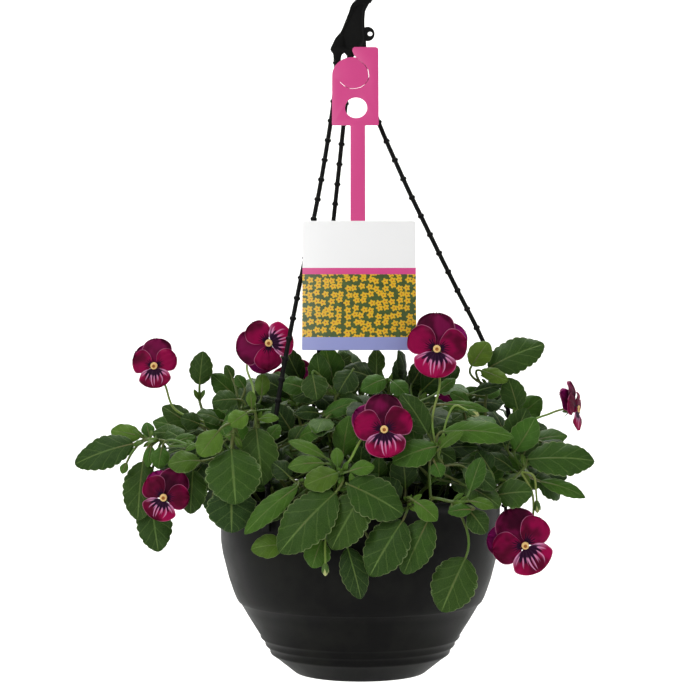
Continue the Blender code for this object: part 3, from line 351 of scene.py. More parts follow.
CLIP_MM = [(118.6, 152), (118.6, 161.6), (131.0, 161.6), (131.0, 134), (128.2, 134),
           (128.2, 146.8), (125.9, 147.8), (125.9, 149.4), (128.1, 151.2), (128.1, 158.8),
           (122.3, 158.8), (122.3, 152)]


def mm(x, y, z):
    return Vector((x, y, z)) * MM


def around(radius, degrees, z):
    turn = math.radians(degrees)
    return Vector((radius * math.cos(turn), radius * math.sin(turn), z))


def smooth_line(points, step):
    """Points about a step apart on the smooth curve through the given points"""
    padded = [points[0] * 2 - points[1]] + points + [points[-1] * 2 - points[-2]]
    made = [points[0].copy()]
    for index in range(len(points) - 1):
        a, b, c, d = padded[index:index + 4]
        count = max(1, round((c - b).length / step))
        for part in range(1, count + 1):
            t = part / count
            made.append(0.5 * (2 * b + (c - a) * t + (2 * a - 5 * b + 4 * c - d) * t * t
                               + (3 * b - a - 3 * c + d) * t ** 3))
    return made


def sweep(form, line, radii, sides, slot=0):
    """Closed round tube along a line, with a radius at each point"""
    layer = form.loops.layers.uv.verify()
    tangent = (line[1] - line[0]).normalized()
    side = tangent.orthogonal().normalized()
    rings = []
    for index, point in enumerate(line):
        ahead = line[min(index + 1, len(line) - 1)] - line[max(index - 1, 0)]
        tangent = ahead.normalized()
        side = (side - tangent * side.dot(tangent)).normalized()
        other = tangent.cross(side)
        rings.append([form.verts.new(point + (side * math.cos(turn) + other * math.sin(turn))
                                     * radii[index])
                      for turn in (2 * math.pi * step / sides for step in range(sides))])
    for index, (ring, following) in enumerate(zip(rings, rings[1:])):
        for step in range(sides):
            after = (step + 1) % sides
            face = form.faces.new((ring[step], ring[after], following[after], following[step]))
            face.material_index = slot
            for loop, (u, v) in zip(face.loops, ((index, step), (index, step + 1),
                                                 (index + 1, step + 1), (index + 1, step))):
                loop[layer].uv = (u / (len(line) - 1), v / sides)
    for ring in (list(reversed(rings[0])), rings[-1]):
        form.faces.new(ring).material_index = slot


def line_length(line):
    return sum((second - first).length for first, second in zip(line, line[1:]))


def cord_radii(line):
    """Radius at each point of a strand, with its knobs and swollen ends"""
    total = line_length(line) / MM
    gone = 0
    radii = []
    for index, point in enumerate(line):
        if index:
            gone += (point - line[index - 1]).length / MM
        off = abs((gone + KNOB_PITCH_MM / 2) % KNOB_PITCH_MM - KNOB_PITCH_MM / 2)
        rise = max(0.0, 1 - (off / KNOB_HALF_MM) ** 4)
        swell = max(0.0, 1 - min(gone, total - gone) / END_SWELL_MM) ** 2
        radii.append(CORD_RADIUS_MM * MM * (1 + KNOB_RISE * rise + END_RISE * swell))
    return radii


strand_lines = {}
for name, turn in STRAND_TURNS.items():
    end = around(STRAND_FOOT_MM * MM, turn, POT_HIGH.z + FOOT_OVER_RIM_MM * MM)
    route = [mm(*LEG_ENDS_MM[name])] + [mm(*point) for point in STRAND_ROUTES_MM[name]] + [end]
    line = smooth_line(route, CORD_STEP_MM * MM)
    strand_lines[name] = line
    cord_form = bmesh.new()
    sweep(cord_form, line, cord_radii(line), CORD_SIDES)
    strand = piece("strand_" + name + "_cord", smooth_mesh(cord_form, name, 60),
                   [hanger_plastic], "hanger_plastic", "strand_" + name)
    clip_form = sheet("clip", [CLIP_MM], CLIP_HALF_MM, 0.4)
    clip_form.transform(Matrix.Translation((0, 0, POT_LOW.z)))
    clip_form.transform(Matrix.Rotation(math.radians(turn), 4, "Z"))
    boolean(strand, clip_form, "UNION")

# Hang tag
# One sheet of white plastic, die cut and printed on both sides: a pink head with a notch, a
# curved slit and a punched hole, a pink strap, and a card with a plain generic print.

TAG_HALF_MM = 0.4
TAG_TILT = math.atan(0.262)
TAG_TOP = Vector((0, -4.3, -90.2)) * MM
TAG_HEAD_MM = [(-2.9, 10.6), (-5.6, 7.2), (-7.0, 3.6), (-6.6, 1.2), (-5.0, 0), (13.8, 0),
               (15.6, 0.7), (16.3, 2.5), (16.3, 73.6), (15.5, 74.4), (4.9, 74.4), (4.3, 75.0)]
TAG_CARD_MM = [(4.3, 163.1), (47.2, 163.1), (47.8, 163.7), (47.8, 278.4), (47.2, 279),
               (-49.4, 279), (-50, 278.4), (-50, 163.7), (-49.4, 163.1), (-8.6, 163.1),
               (-8.6, 75.0), (-9.2, 74.4), (-24.1, 74.4), (-24.9, 73.6)]
TAG_LOBE_CENTRE_MM = (-7.1, 27.6)
TAG_LOBE_MM = 17.8
TAG_SLIT_MM = [(4.5, 17.5), (7.0, 22.0), (7.8, 27.5), (6.8, 32.0), (4.2, 35.8), (0.4, 38.4),
               (-4.4, 39.7), (-9.4, 39.5), (-14.0, 37.2), (-18, 33.4)]
SLIT_HALF_MM = 0.25
TAG_PUNCH_MM = (-3.6, 57.9)
TAG_PUNCH_RADIUS_MM = 9.8
CARD_TOP_MM = 163.1
BAND_TOP_MM = 205.8
PICTURE_TOP_MM = 211.5
STRIP_TOP_MM = 267.6
TAG_PINK = "d9468b"
CARD_WHITE = "fafafa"
STRIP_LAVENDER = "9298cf"
PRINT_GREEN = "24301a"
PRINT_LEAF = "55702c"
PRINT_YELLOW = "e2b21c"
PRINT_ORANGE = "b9651a"
FLOWER_PITCH_MM = 6.5
CARD_SCALE_MM = 300

inner_slit = []
outer_slit = []
for x, down in TAG_SLIT_MM:
    away = (Vector((x, down)) - Vector(TAG_LOBE_CENTRE_MM)).normalized() * SLIT_HALF_MM
    inner_slit.append((x - away.x, down - away.y))
    outer_slit.append((x + away.x, down + away.y))
lobe = arc(TAG_LOBE_CENTRE_MM, TAG_LOBE_MM, 180, 282, 26)
tag_outline = TAG_CARD_MM + lobe + inner_slit + list(reversed(outer_slit)) + TAG_HEAD_MM
punch = arc(TAG_PUNCH_MM, TAG_PUNCH_RADIUS_MM, 0, 352, 44)
tag_form = sheet("tag", [[(x, -down) for x, down in line] for line in (tag_outline, punch)],
                 TAG_HALF_MM, 0.12)
print_layer = tag_form.loops.layers.uv.verify()
for face in tag_form.faces:
    for loop in face.loops:
        loop[print_layer].uv = (loop.vert.co.x / (CARD_SCALE_MM * MM),
                                -loop.vert.co.z / (CARD_SCALE_MM * MM))
tag_form.transform(Matrix.Translation(TAG_TOP) @ Matrix.Rotation(-TAG_TILT, 4, "X"))


def printed_sheet():
    """Polystyrene sheet with a satin print: flat inks, and small rosettes on a leafy ground

    The sheet is a little rippled, so its sheen isn't even.
    """
    made, shader = finish_named("printed_polystyrene_sheet")
    uv = add(made, "UVMap", {})
    axes = add(made, "SeparateXYZ", {0: uv})
    down = add(made, "Math", {0: axes.outputs[1], 1: CARD_SCALE_MM}, operation="MULTIPLY")
    rosettes = add(made, "TexVoronoi", {"Vector": uv, "Scale": CARD_SCALE_MM / FLOWER_PITCH_MM,
                                        "Randomness": 0.55}, voronoi_dimensions="2D")
    centre = add(made, "VectorMath", {0: rosettes.outputs["Position"], 1: uv},
                 operation="SUBTRACT")
    offset = add(made, "SeparateXYZ", {0: centre})
    turn = add(made, "Math", {0: offset.outputs[1], 1: offset.outputs[0]}, operation="ARCTAN2")
    five = add(made, "Math", {0: turn, 1: 5.0}, operation="MULTIPLY")
    lobes = add(made, "Math", {0: five}, operation="COSINE")
    reach = add(made, "Math", {0: lobes, 1: 0.09, 2: 0.40}, operation="MULTIPLY_ADD")
    petals = add(made, "Math", {0: rosettes.outputs["Distance"], 1: reach}, operation="LESS_THAN")
    heart = add(made, "Math", {0: rosettes.outputs["Distance"], 1: 0.10}, operation="LESS_THAN")
    leaves = add(made, "TexNoise", {"Vector": uv, "Scale": 70.0})
    ink = add(made, "Mix", {0: leaves, 6: PRINT_GREEN, 7: PRINT_LEAF}, data_type="RGBA")
    ink = add(made, "Mix", {0: petals, 6: ink, 7: PRINT_YELLOW}, data_type="RGBA")
    ink = add(made, "Mix", {0: heart, 6: ink, 7: PRINT_ORANGE}, data_type="RGBA")
    zones = [(STRIP_TOP_MM, "GREATER_THAN", STRIP_LAVENDER), (PICTURE_TOP_MM, "LESS_THAN", TAG_PINK),
             (BAND_TOP_MM, "LESS_THAN", CARD_WHITE), (CARD_TOP_MM, "LESS_THAN", TAG_PINK)]
    for edge, side, colour in zones:
        here = add(made, "Math", {0: down, 1: edge}, operation=side)
        ink = add(made, "Mix", {0: here, 6: ink, 7: colour}, data_type="RGBA")
    ripple = add(made, "TexNoise", {"Vector": uv, "Scale": 9.0})
    join(made, shader, {"Base Color": ink, "Roughness": 0.34, "IOR": 1.55, "Normal": add(
        made, "Bump", {"Height": ripple, "Strength": 0.25, "Distance": 0.6 * MM})})
    return made


piece("hang_tag_sheet", smooth_mesh(tag_form, "tag", 40), [printed_sheet()], "tag_sheet",
      "hang_tag")

# Soil
# Dark damp peat compost that fills the pot to just under its rim: a crumbly top with bits of
# bark and a few white grains of perlite, over a plain block that the bowl hides.

SOIL_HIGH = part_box("soil")[1]
SOIL_RADIUS_MM = 121.2
SOIL_RINGS = 34
SOIL_SECTORS = 120
CRUMB_COUNT = 420
PEAT_BLACK = "17100a"
PEAT_BROWN = "3a2817"
PERLITE = "b9b4a6"
PERLITE_WHITE = "fafafa"
soil_draw = random.Random(5)


def soil_height(x, y):
    """Height of the compost's top at a place, in metres"""
    from_axis = math.hypot(x, y) / MM / SOIL_RADIUS_MM
    lump = (math.sin(x * 390 + 1.3) * math.sin(y * 350 + 0.4) * 0.7
            + math.sin(x * 910 + y * 760) * 0.45 + math.sin(x * 1750 - y * 1430 + 2) * 0.3)
    return SOIL_HIGH.z + (lump * 0.9 - 1.4 - 2.4 * from_axis ** 2) * MM


soil_form = bmesh.new()
top_rings = [[soil_form.verts.new((0, 0, soil_height(0, 0)))]]
for ring in range(1, SOIL_RINGS + 1):
    radius = SOIL_RADIUS_MM * MM * ring / SOIL_RINGS
    points = [around(radius, 360 * sector / SOIL_SECTORS, 0) for sector in range(SOIL_SECTORS)]
    top_rings.append([soil_form.verts.new((point.x, point.y, soil_height(point.x, point.y)))
                      for point in points])
for radius, height in ((120.2, 135), (115.0, 95.2), (101.8, 61.8), (81.6, 30.0), (56, 4.2)):
    top_rings.append([soil_form.verts.new(around(radius * MM, 360 * sector / SOIL_SECTORS,
                                                 POT_LOW.z + height * MM))
                      for sector in range(SOIL_SECTORS)])
for ring, following in zip(top_rings, top_rings[1:]):
    for sector in range(SOIL_SECTORS):
        after = (sector + 1) % SOIL_SECTORS
        corners = [ring[sector % len(ring)], following[sector], following[after],
                   ring[after % len(ring)]]
        soil_form.faces.new(list(dict.fromkeys(corners)))
soil_form.faces.new(top_rings[-1])
for number in range(CRUMB_COUNT):
    spot = around(SOIL_RADIUS_MM * MM * 0.97 * math.sqrt(soil_draw.random()),
                  soil_draw.uniform(0, 360), 0)
    size = soil_draw.uniform(0.8, 2.4) * MM
    crumb = bmesh.ops.create_icosphere(soil_form, subdivisions=1, radius=size)
    stretch = [soil_draw.uniform(0.6, 1.5) for _ in range(3)]
    for vert in crumb["verts"]:
        vert.co = Vector([axis * factor * soil_draw.uniform(0.8, 1.15)
                          for axis, factor in zip(vert.co, stretch)])
        vert.co += Vector((spot.x, spot.y, soil_height(spot.x, spot.y) + size * 0.2))
        for face in vert.link_faces:
            face.material_index = 1 if number % 14 == 0 else 0


def peat(name, first, second, roughness):
    """Wet fibrous compost or its pale grains: matt, and mottled in crumbs of about 2.4 mm"""
    made, shader = finish_named(name)
    place = add(made, "TexCoord", {}).outputs["Object"]
    crumbs = add(made, "TexNoise", {"Vector": place, "Scale": 420.0, "Detail": 6.0,
                                    "Roughness": 0.7})
    join(made, shader, {
        "Base Color": add(made, "Mix", {0: crumbs, 6: first, 7: second}, data_type="RGBA"),
        "Roughness": roughness,
        "Normal": add(made, "Bump", {"Height": crumbs, "Strength": 0.9, "Distance": 0.8 * MM})})
    return made


piece("compost_top", smooth_mesh(soil_form, "soil", 50),
      [peat("damp_peat_compost", PEAT_BLACK, PEAT_BROWN, 0.9),
       peat("perlite_grain", PERLITE, PERLITE_WHITE, 0.8)], "compost", "soil")

# Leafy stems
# The green part of a young trailing pansy: juicy stems from the compost, round to oval leaves
# with blunt teeth on thin stalks, small leafy stipules where they join, nodding flower stalks
# and buds. Each stem with all that grows on it is one piece, grown in place.

STEM_RADIUS_MM = 1.7
LEAF_STALK_RADIUS_MM = 1.1
FLOWER_STALK_RADIUS_MM = 1.0
BUD_RADIUS_MM = 3.4
CAD_STEM_STEP_MM = 27
FINE_STEP_MM = 3.0
SAME_POINT_MM = 0.05
SOIL_TOP_MM = 146
STEM_DEPTH_MM = 12
STEM_RISE_MM = 4
FRONT_LOOK = Vector((0, -0.9, 0.45))
# The places, sizes and bends that the CAD tried for each leaf, stalk and stem, in its order
SHIFTS_MM = (0, 2, -2, 4, -4, 7, -7, 10, -10, 14, -14, 18, -18, 23)
SCALES = (1.0, 0.88, 0.76)
BENDS = (0.45, 0.15, 0.75)
SIDE_REACHES_MM = (3, 6, 9, 13, 18)
# Each stem of the front has its root in the soil (x, y), the points of its stem, its leaves as
# kind, share of the stem, base and tip of the blade and width, and its flowers and buds as name,
# share of the stem and points of the stalk
SHOOTS_MM = [
    ("left_far", (-96, -24), [(-124, -40, -465), (-152, -46, -444), (-175, -50, -438),
                              (-188, -52, -438)], [
        ("dark", 0.98, (-196, -54, -441), (-247, -52, -459), 32),
        ("light", 0.95, (-190, -48, -435), (-217, -44, -430), 18),
        ("dark", 0.93, (-187, -60, -456), (-192, -58, -507), 32),
        ("dark", 0.88, (-181, -52, -490), (-175, -50, -535), 32),
        ("mid", 0.90, (-180, -58, -443), (-183, -62, -461), 11),
        ("mid", 0.92, (-183, -44, -436), (-187, -38, -423), 12),
        ("young", 1.00, (-200, -68, -456), (-204, -70, -466), 8),
    ], []),
    ("left_front", (-84, -52), [(-117, -70, -450), (-133, -72, -439), (-147, -74, -443)], [
        ("dark", 0.90, (-143, -72, -463), (-145, -74, -500), 27),
        ("young", 0.70, (-135, -86, -454), (-163, -90, -457), 22),
        ("mid", 0.98, (-170, -66, -443), (-173, -70, -462), 17),
        ("mid", 0.95, (-162, -60, -441), (-142, -52, -435), 12),
        ("dark", 0.98, (-154, -50, -438), (-168, -40, -430), 19),
    ], [("bloom_6", 1.0, [(-155, -70, -456), (-163, -68, -474)])]),
    ("left_round", (-66, -78), [(-101, -110, -435), (-103, -122, -418), (-105, -136, -429)], [
        ("dark", 1.00, (-106, -140, -441), (-102, -146, -486), 47),
        ("light", 0.90, (-116, -142, -426), (-131, -150, -446), 23),
        ("light", 0.60, (-94, -128, -412), (-108, -134, -422), 18),
        ("deep", 0.95, (-106, -134, -473), (-106, -136, -510), 43),
    ], []),
    ("left_inner", (-52, -68), [(-84, -84, -445), (-86, -96, -423), (-89, -104, -411)], [
        ("dark", 0.90, (-87, -126, -425), (-81, -134, -472), 33),
        ("young", 1.00, (-91, -108, -409), (-92, -106, -394), 9),
        ("young", 0.90, (-85, -110, -418), (-68, -114, -417), 9),
        ("mid", 0.50, (-78, -100, -436), (-68, -96, -423), 13),
    ], [("bloom_2", 0.98, [(-90, -74, -392), (-96, -48, -372)])]),
    ("left_top", (-74, -4), [(-132, -8, -440), (-138, -6, -422), (-143, -4, -406)], [
        ("dark", 1.00, (-143, -4, -391), (-140, -2, -361), 22),
        ("mid", 0.70, (-129, -14, -417), (-114, -20, -412), 10),
        ("dark", 0.50, (-142, -12, -426), (-159, -14, -420), 18),
    ], [("bloom_1", 0.85, [(-164, -10, -413), (-173, -8, -392)])]),
    ("left_buds", (-46, -28), [(-100, -34, -434), (-105, -36, -414), (-108, -36, -402)], [
        ("dark", 0.80, (-107, -42, -403), (-129, -46, -405), 21),
        ("mid", 0.95, (-101, -36, -393), (-109, -34, -382), 11),
        ("light", 0.90, (-86, -40, -400), (-85, -36, -381), 14),
        ("dark", 0.98, (-112, -32, -385), (-118, -30, -373), 10),
    ], []),
    ("front_left_low", (-38, -98), [(-45, -128, -473), (-51, -134, -468)], [
        ("mid", 1.00, (-52, -139, -472), (-95, -146, -510), 19),
        ("young", 0.90, (-59, -137, -520), (-90, -140, -523), 21),
        ("dark", 0.80, (-56, -136, -483), (-81, -134, -501), 16),
        ("deep", 0.60, (-58, -128, -465), (-73, -122, -453), 18),
    ], []),
    ("front_left", (-16, -92), [(-24, -126, -466), (-19, -136, -462), (-15, -142, -461)], [
        ("light", 1.00, (-19, -147, -460), (-46, -152, -470), 22),
        ("dark", 0.96, (-21, -150, -476), (-66, -156, -524), 41),
        ("young", 0.80, (-29, -140, -453), (-60, -142, -456), 16),
        ("young", 0.75, (-28, -134, -449), (-60, -130, -435), 11),
        ("young", 0.60, (-19, -140, -456), (-20, -136, -440), 11),
        ("young", 0.70, (-10, -146, -459), (11, -144, -455), 14),
    ], [("bloom_5", 0.90, [(-9, -140, -450), (2, -128, -432)]),
        ("bud", 1.00, [(-24, -142, -490), (-29, -146, -515), (-29, -150, -532),
                       (-29, -150, -543)])]),
    ("front_middle", (6, -96), [(-7, -132, -475), (-6, -140, -471), (-7, -144, -473)], [
        ("dark", 1.00, (1, -147, -477), (-24, -148, -522), 37),
        ("dark", 0.96, (-11, -150, -469), (34, -146, -494), 38),
        ("deep", 0.90, (-11, -138, -522), (0, -138, -564), 24),
        ("mid", 0.70, (-32, -142, -515), (-40, -142, -538), 24),
        ("mid", 0.80, (7, -136, -516), (16, -136, -532), 18),
    ], []),
    ("front_right", (32, -92), [(36, -126, -488), (40, -134, -485), (39, -138, -489)], [
        ("dark", 1.00, (34, -145, -499), (7, -148, -544), 37),
        ("dark", 0.97, (55, -140, -499), (35, -142, -543), 31),
        ("young", 0.85, (43, -142, -483), (62, -148, -499), 18),
        ("deep", 0.50, (31, -124, -484), (16, -118, -466), 22),
    ], []),
    ("front_right_low", (60, -80), [(59, -122, -483), (74, -128, -485), (83, -130, -486)], [
        ("mid", 0.90, (91, -134, -491), (71, -138, -493), 12),
        ("young", 1.00, (89, -134, -484), (109, -138, -489), 11),
        ("dark", 0.96, (90, -130, -493), (103, -130, -511), 21),
        ("dark", 0.90, (86, -132, -531), (66, -134, -575), 39),
        ("mid", 0.90, (90, -126, -476), (100, -120, -449), 17),
        ("mid", 0.50, (61, -124, -453), (66, -128, -465), 14),
    ], []),
    ("front_centre", (40, -66), [(67, -100, -461), (64, -110, -448), (64, -112, -442)], [
        ("mid", 1.00, (63, -118, -440), (26, -126, -453), 25),
        ("mid", 0.95, (69, -112, -428), (128, -106, -433), 22),
        ("young", 0.98, (65, -120, -442), (85, -122, -427), 10),
        ("dark", 0.90, (56, -104, -430), (34, -98, -397), 24),
        ("mid", 0.80, (70, -92, -406), (109, -88, -412), 10),
    ], [("bloom_3", 0.95, [(60, -100, -419), (67, -86, -388)]),
        ("bud", 0.90, [(72, -98, -420), (79, -95, -407), (88, -96, -410), (99, -98, -415)])]),
    ("centre_top", (10, -40), [(27, -50, -429), (26, -54, -403), (24, -56, -390)], [
        ("mid", 1.00, (22, -62, -385), (0, -68, -395), 19),
        ("mid", 0.90, (27, -63, -387), (40, -68, -399), 17),
        ("dark", 0.90, (14, -50, -381), (14, -44, -359), 16),
        ("mid", 0.85, (67, -62, -396), (82, -60, -385), 11),
        ("deep", 0.50, (27, -56, -413), (10, -60, -410), 21),
    ], []),
    ("centre_left", (-24, -46), [(-26, -60, -437), (-23, -64, -412), (-21, -66, -399)], [
        ("dark", 1.00, (-41, -70, -381), (-37, -78, -403), 24),
        ("deep", 0.98, (-7, -64, -378), (-19, -70, -397), 24),
        ("mid", 0.85, (-31, -70, -416), (-2, -74, -404), 16),
        ("deep", 0.60, (-36, -74, -428), (-53, -78, -435), 19),
        ("mid", 0.70, (-7, -96, -448), (-13, -92, -433), 16),
        ("dark", 0.75, (-58, -84, -440), (-49, -80, -425), 17),
    ], []),
    ("right_top", (64, -30), [(105, -30, -430), (110, -28, -404), (114, -28, -385)], [
        ("dark", 1.00, (112, -32, -376), (162, -24, -355), 33),
        ("light", 0.95, (97, -38, -374), (112, -34, -353), 22),
        ("light", 0.90, (105, -42, -378), (128, -46, -387), 15),
        ("deep", 0.60, (99, -40, -397), (124, -36, -391), 12),
        ("mid", 0.70, (95, -44, -408), (78, -44, -397), 14),
    ], []),
    ("right_bright", (92, -20), [(130, -28, -457), (136, -32, -430), (138, -34, -415)], [
        ("dark", 1.00, (137, -38, -412), (129, -34, -384), 24),
        ("young", 0.60, (139, -48, -450), (138, -46, -414), 12),
        ("mid", 0.50, (139, -44, -464), (131, -40, -450), 16),
    ], [("bloom_4", 0.60, [(148, -22, -426), (168, -18, -416)])]),
    ("right_low", (88, -52), [(125, -82, -472), (134, -84, -465), (139, -84, -460)], [
        ("dark", 1.00, (142, -80, -453), (200, -72, -455), 32),
        ("mid", 0.95, (153, -76, -472), (192, -74, -486), 14),
        ("dark", 0.80, (115, -98, -482), (144, -102, -479), 28),
        ("deep", 0.50, (109, -92, -461), (99, -88, -446), 20),
    ], [("bloom_7", 0.95, [(145, -92, -482), (144, -94, -508)]),
        ("bud", 0.95, [(146, -90, -466), (148, -92, -480), (149, -93, -497)])]),
]

# The stems that follow a rule: their turns round the pot, how far out and how high they reach,
# and where along them their leaves grow. The upright ones go through UPRIGHT_MM, as radius and
# height.
BACK_SHOOTS = 8
BACK_FIRST_TURN = 7
BACK_LAST_TURN = 173
BACK_ROOTS_MM = (76, 94)
BACK_REACH_MM = (138, 160)
BACK_HIGH_MM = (-455, -436)
BACK_SHARES = (0.42, 0.58, 0.74, 0.88, 1.0)
UPRIGHT_TURNS = (35, 90, 148, -165, -30)
UPRIGHT_MM = ((46, 0), (50, -450), (58, -410))
UPRIGHT_SHARES = (0.5, 0.7, 0.9, 1.0)
UPRIGHT_SIZE = 0.9
# Their leaves: turn to the side, distance from the stem, length, droop and width to length
RULE_SIDE_TURN = (38, 78)
RULE_TIP_TURN = (-14, 14)
RULE_FOOT_MM = (9, 16)
RULE_LENGTH_MM = (38, 57)
RULE_DROOP = (0.05, 0.85)
RULE_WIDTH = (0.58, 0.74)
BACK_FLOWERS_MM = [("back_6", "bloom_8", 0.8, [(-78, 108, -425)]),
                   ("back_3", "bloom_9", 0.9, [(92, 98, -440)])]
# Eye, direction that the face looks in, turn to the left of upright, size, and the side that
# the small back petal is on: 1 for the left
BLOOMS_MM = {
    "bloom_1": ((-182, -20, -374), (-0.10, -1, 0.10), 4, 0.80, 1),
    "bloom_2": ((-79, -60, -354), (0.10, -1, 0.12), 110, 0.88, 1),
    "bloom_3": ((64, -98, -359), (0.02, -1, 0.10), -7, 1.00, -1),
    "bloom_4": ((193, -20, -412), (0.92, -0.36, 0.04), 0, 0.78, 1),
    "bloom_5": ((19, -137, -425), (0.07, -1, 0.14), 6, 0.95, 1),
    "bloom_6": ((-167, -86, -485), (-0.10, -1, 0.06), -22, 0.82, 1),
    "bloom_7": ((137, -112, -523), (0.12, -1, 0.04), 30, 1.02, 1),
    "bloom_8": ((-66, 118, -392), (-0.35, 0.85, 0.40), 10, 0.92, 1),
    "bloom_9": ((98, 112, -420), (0.55, 0.75, 0.25), -14, 0.96, -1),
}
# Widest point along the blade, fullness of the outline, arch, edge sag and depth of the teeth
BLADE_FORMS = {
    "dark": (0.46, 0.60, 0.09, 0.16, 0.085),
    "deep": (0.46, 0.62, 0.10, 0.18, 0.085),
    "mid": (0.48, 0.66, 0.12, 0.20, 0.075),
    "light": (0.50, 0.56, 0.06, 0.14, 0.07),
    "young": (0.55, 0.72, 0.14, 0.12, 0.05),
    "petal": (0.56, 0.48, 0.05, 0.10, 0.0),
    "lip": (0.45, 0.44, 0.05, 0.10, 0.0),
    "sepal": (0.34, 0.80, 0.08, 0.10, 0.0),
}
# Greens of the leaf kinds. Dark and deep are painted shade for leaves in the plant's shadow, deep
# for those far inside it; light is partly the leaves' paler green and partly painted light on the
# most lit ones; young and mid are the leaves' own greens
LEAF_TINTS = {"dark": "2c4811", "deep": "1c350c", "mid": "385d16", "light": "4f6d1b",
              "young": "48691b", "sepal": "4f6d30"}
LEAF_SHADE = "18290e"
LEAF_VEIN = "7f9c52"
LEAF_RIM = "9aa872"
LEAF_UNDER = "6f8457"
STEM_GREEN = "4a6a24"
STEM_BROWN = "5f5e30"
BUD_GREEN = "a9b26a"
BUD_CREAM = "c9c79a"
STALK_GREEN = "6f9038"
STALK_OLIVE = "7f8c44"
SEPAL_REACH_MM = 6.8
SEPAL_LEAN_MM = 5.4
SEPAL_WIDTH_MM = 4.4
SEPAL_DROP_MM = 1.7
TOOTH_PITCH_MM = 5.2
SMALL_LEAF_MM = 13
LEAF_THICKNESS_MM = 0.5
VEIN_PAIRS = 6
# Cells of the vein net to the metre, two or three times their real width so that they show
NET_CELLS = 650
# The dark leaves deep inside the plant, which the solids leave out, whose dark greens are painted
# shade: the room that their starts are drawn in, with a domed top and clear of the rim, how long
# they are, and how far they stand from a stem, from each other, from the solids and before a bloom
# or a strand
INNER_TRIES = 440
STARTS_PER_TRY = 12
INNER_ACROSS_MM = (-168, 158)
INNER_DEEP_MM = (-104, 120)
INNER_HIGH_MM = (-482, -378)
INNER_DOME_MM = 62
INNER_PLAN_MM = (176, 122)
RIM_ZONE_MM = (101, 168)
INNER_CENTRE_MM = 30
INNER_LENGTH_MM = (22, 38)
INNER_REACH_MM = (6, 42)
INNER_GAP_MM = 2.0
SOLID_CLEAR_MM = 2.2
BLOOM_CLEAR_MM = 27
STRAND_CLEAR_MM = 5
# Gaps that let light through from behind, across and up in the plant's middle plane, and the
# point that they are seen from; two inner leaves are set on each of those lines of sight, at a
# depth that is a share of the distance
LIGHT_GAPS_MM = [(-31, -406), (-36, -420), (-72, -480), (81, -479), (128, -452), (130, -466),
                 (114, -398)]
SEEN_FROM_MM = (-9, -1660, -360)
GAP_DEEP = (-0.05, 0.07)
LEAVES_PER_GAP = 2
GAP_TRIES = 500


class Blade:
    """A leaf or petal: where it sits, how it is turned and its measures in metres"""

    def __init__(self, kind, base, tip, width, look):
        self.kind = kind
        self.base = base
        self.tip = tip
        self.half_width = width / 2
        self.axis = (tip - base).normalized()
        self.length = (tip - base).length
        self.facing = (look - self.axis * look.dot(self.axis)).normalized()
        self.across = self.axis.cross(self.facing)

    def half_at(self, u):
        widest, fullness = BLADE_FORMS[self.kind][:2]
        power = math.log(0.5) / math.log(widest)
        return self.half_width * max(0.0, math.sin(math.pi * u ** power)) ** fullness

    def surface(self, u, half, lift):
        """Point at u of the length and half across, lifted off the middle surface"""
        arch, sag = BLADE_FORMS[self.kind][2:4]
        bow = arch * self.length * 4 * u * (1 - u)
        drop = sag * half * half / self.half_width
        return (self.base + self.axis * self.length * u + self.across * half
                + self.facing * (bow - drop + lift))

    def moved(self, offset, scale):
        return Blade(self.kind, self.base + offset,
                     self.base + offset + (self.tip - self.base) * scale,
                     self.half_width * 2 * scale, self.facing)


def lookup(points):
    """Search tree that finds the nearest of some points"""
    tree = KDTree(len(points))
    for index, point in enumerate(points):
        tree.insert(point, index)
    tree.balance()
    return tree


def settled_leaf(blade, push, corners):
    """The blade where the CAD has room for it, or None where it has none"""
    for scale in SCALES:
        for shift in SHIFTS_MM:
            moved = blade.moved(push * shift * MM, scale)
            if corners.find(moved.tip)[2] < SAME_POINT_MM * MM:
                return moved
    return None


def settled_line(points, movable, radius_at, corners):
    """The route's points with the side bend that the CAD gave them"""
    sides = [Vector((0, 0, 0))]
    for reach in SIDE_REACHES_MM:
        sides += [around(reach * MM, turn, 0) for turn in range(0, 360, 45)]
    found = []
    for number, side in enumerate(sides):
        moved = [point.copy() for point in points]
        for index in movable:
            moved[index] += side * math.sin(math.pi * (index + 1) / (len(points) + 1))
        line = smooth_line(moved, CAD_STEM_STEP_MM * MM)
        misfit = sum(min(MM, abs(corners.find(point)[2] - radius_at(index / (len(line) - 1))))
                     for index, point in enumerate(line))
        found.append((misfit, number, moved))
    return min(found)[2]


def along(points, distance):
    """Point at a distance along a line of points"""
    for first, second in zip(points, points[1:]):
        length = (second - first).length
        if distance <= length:
            return first.lerp(second, distance / length)
        distance -= length
    return points[-1].copy()


def stalk_line(root, blade, bend, steps):
    """Leaf stalk as a soft curve that ends in line with the midrib"""
    span = (blade.base - root).length
    middle = blade.base - blade.axis * span * bend
    return [root * (1 - t) ** 2 + middle * 2 * t * (1 - t) + blade.base * t * t
            for t in (step / steps for step in range(steps + 1))]


def settled_stalk(root, blade, corners):
    """The leaf stalk with the bend that the CAD gave it"""
    def misfit(bend):
        middle = stalk_line(root, blade, bend, 2)[1]
        return abs(corners.find(middle)[2] - LEAF_STALK_RADIUS_MM * MM)
    return stalk_line(root, blade, min(BENDS, key=misfit), 7)


def stem_radius(t):
    return STEM_RADIUS_MM * MM * (1 - 0.25 * t)


def flower_stalk_radius(t):
    return FLOWER_STALK_RADIUS_MM * MM * (1 if t < 0.92 else 1.6)


def bud_radius(t):
    if t < 0.72:
        return FLOWER_STALK_RADIUS_MM * MM * 0.9
    return MM + (BUD_RADIUS_MM - 1) * MM * math.sin(math.pi * (t - 0.72) / 0.30)


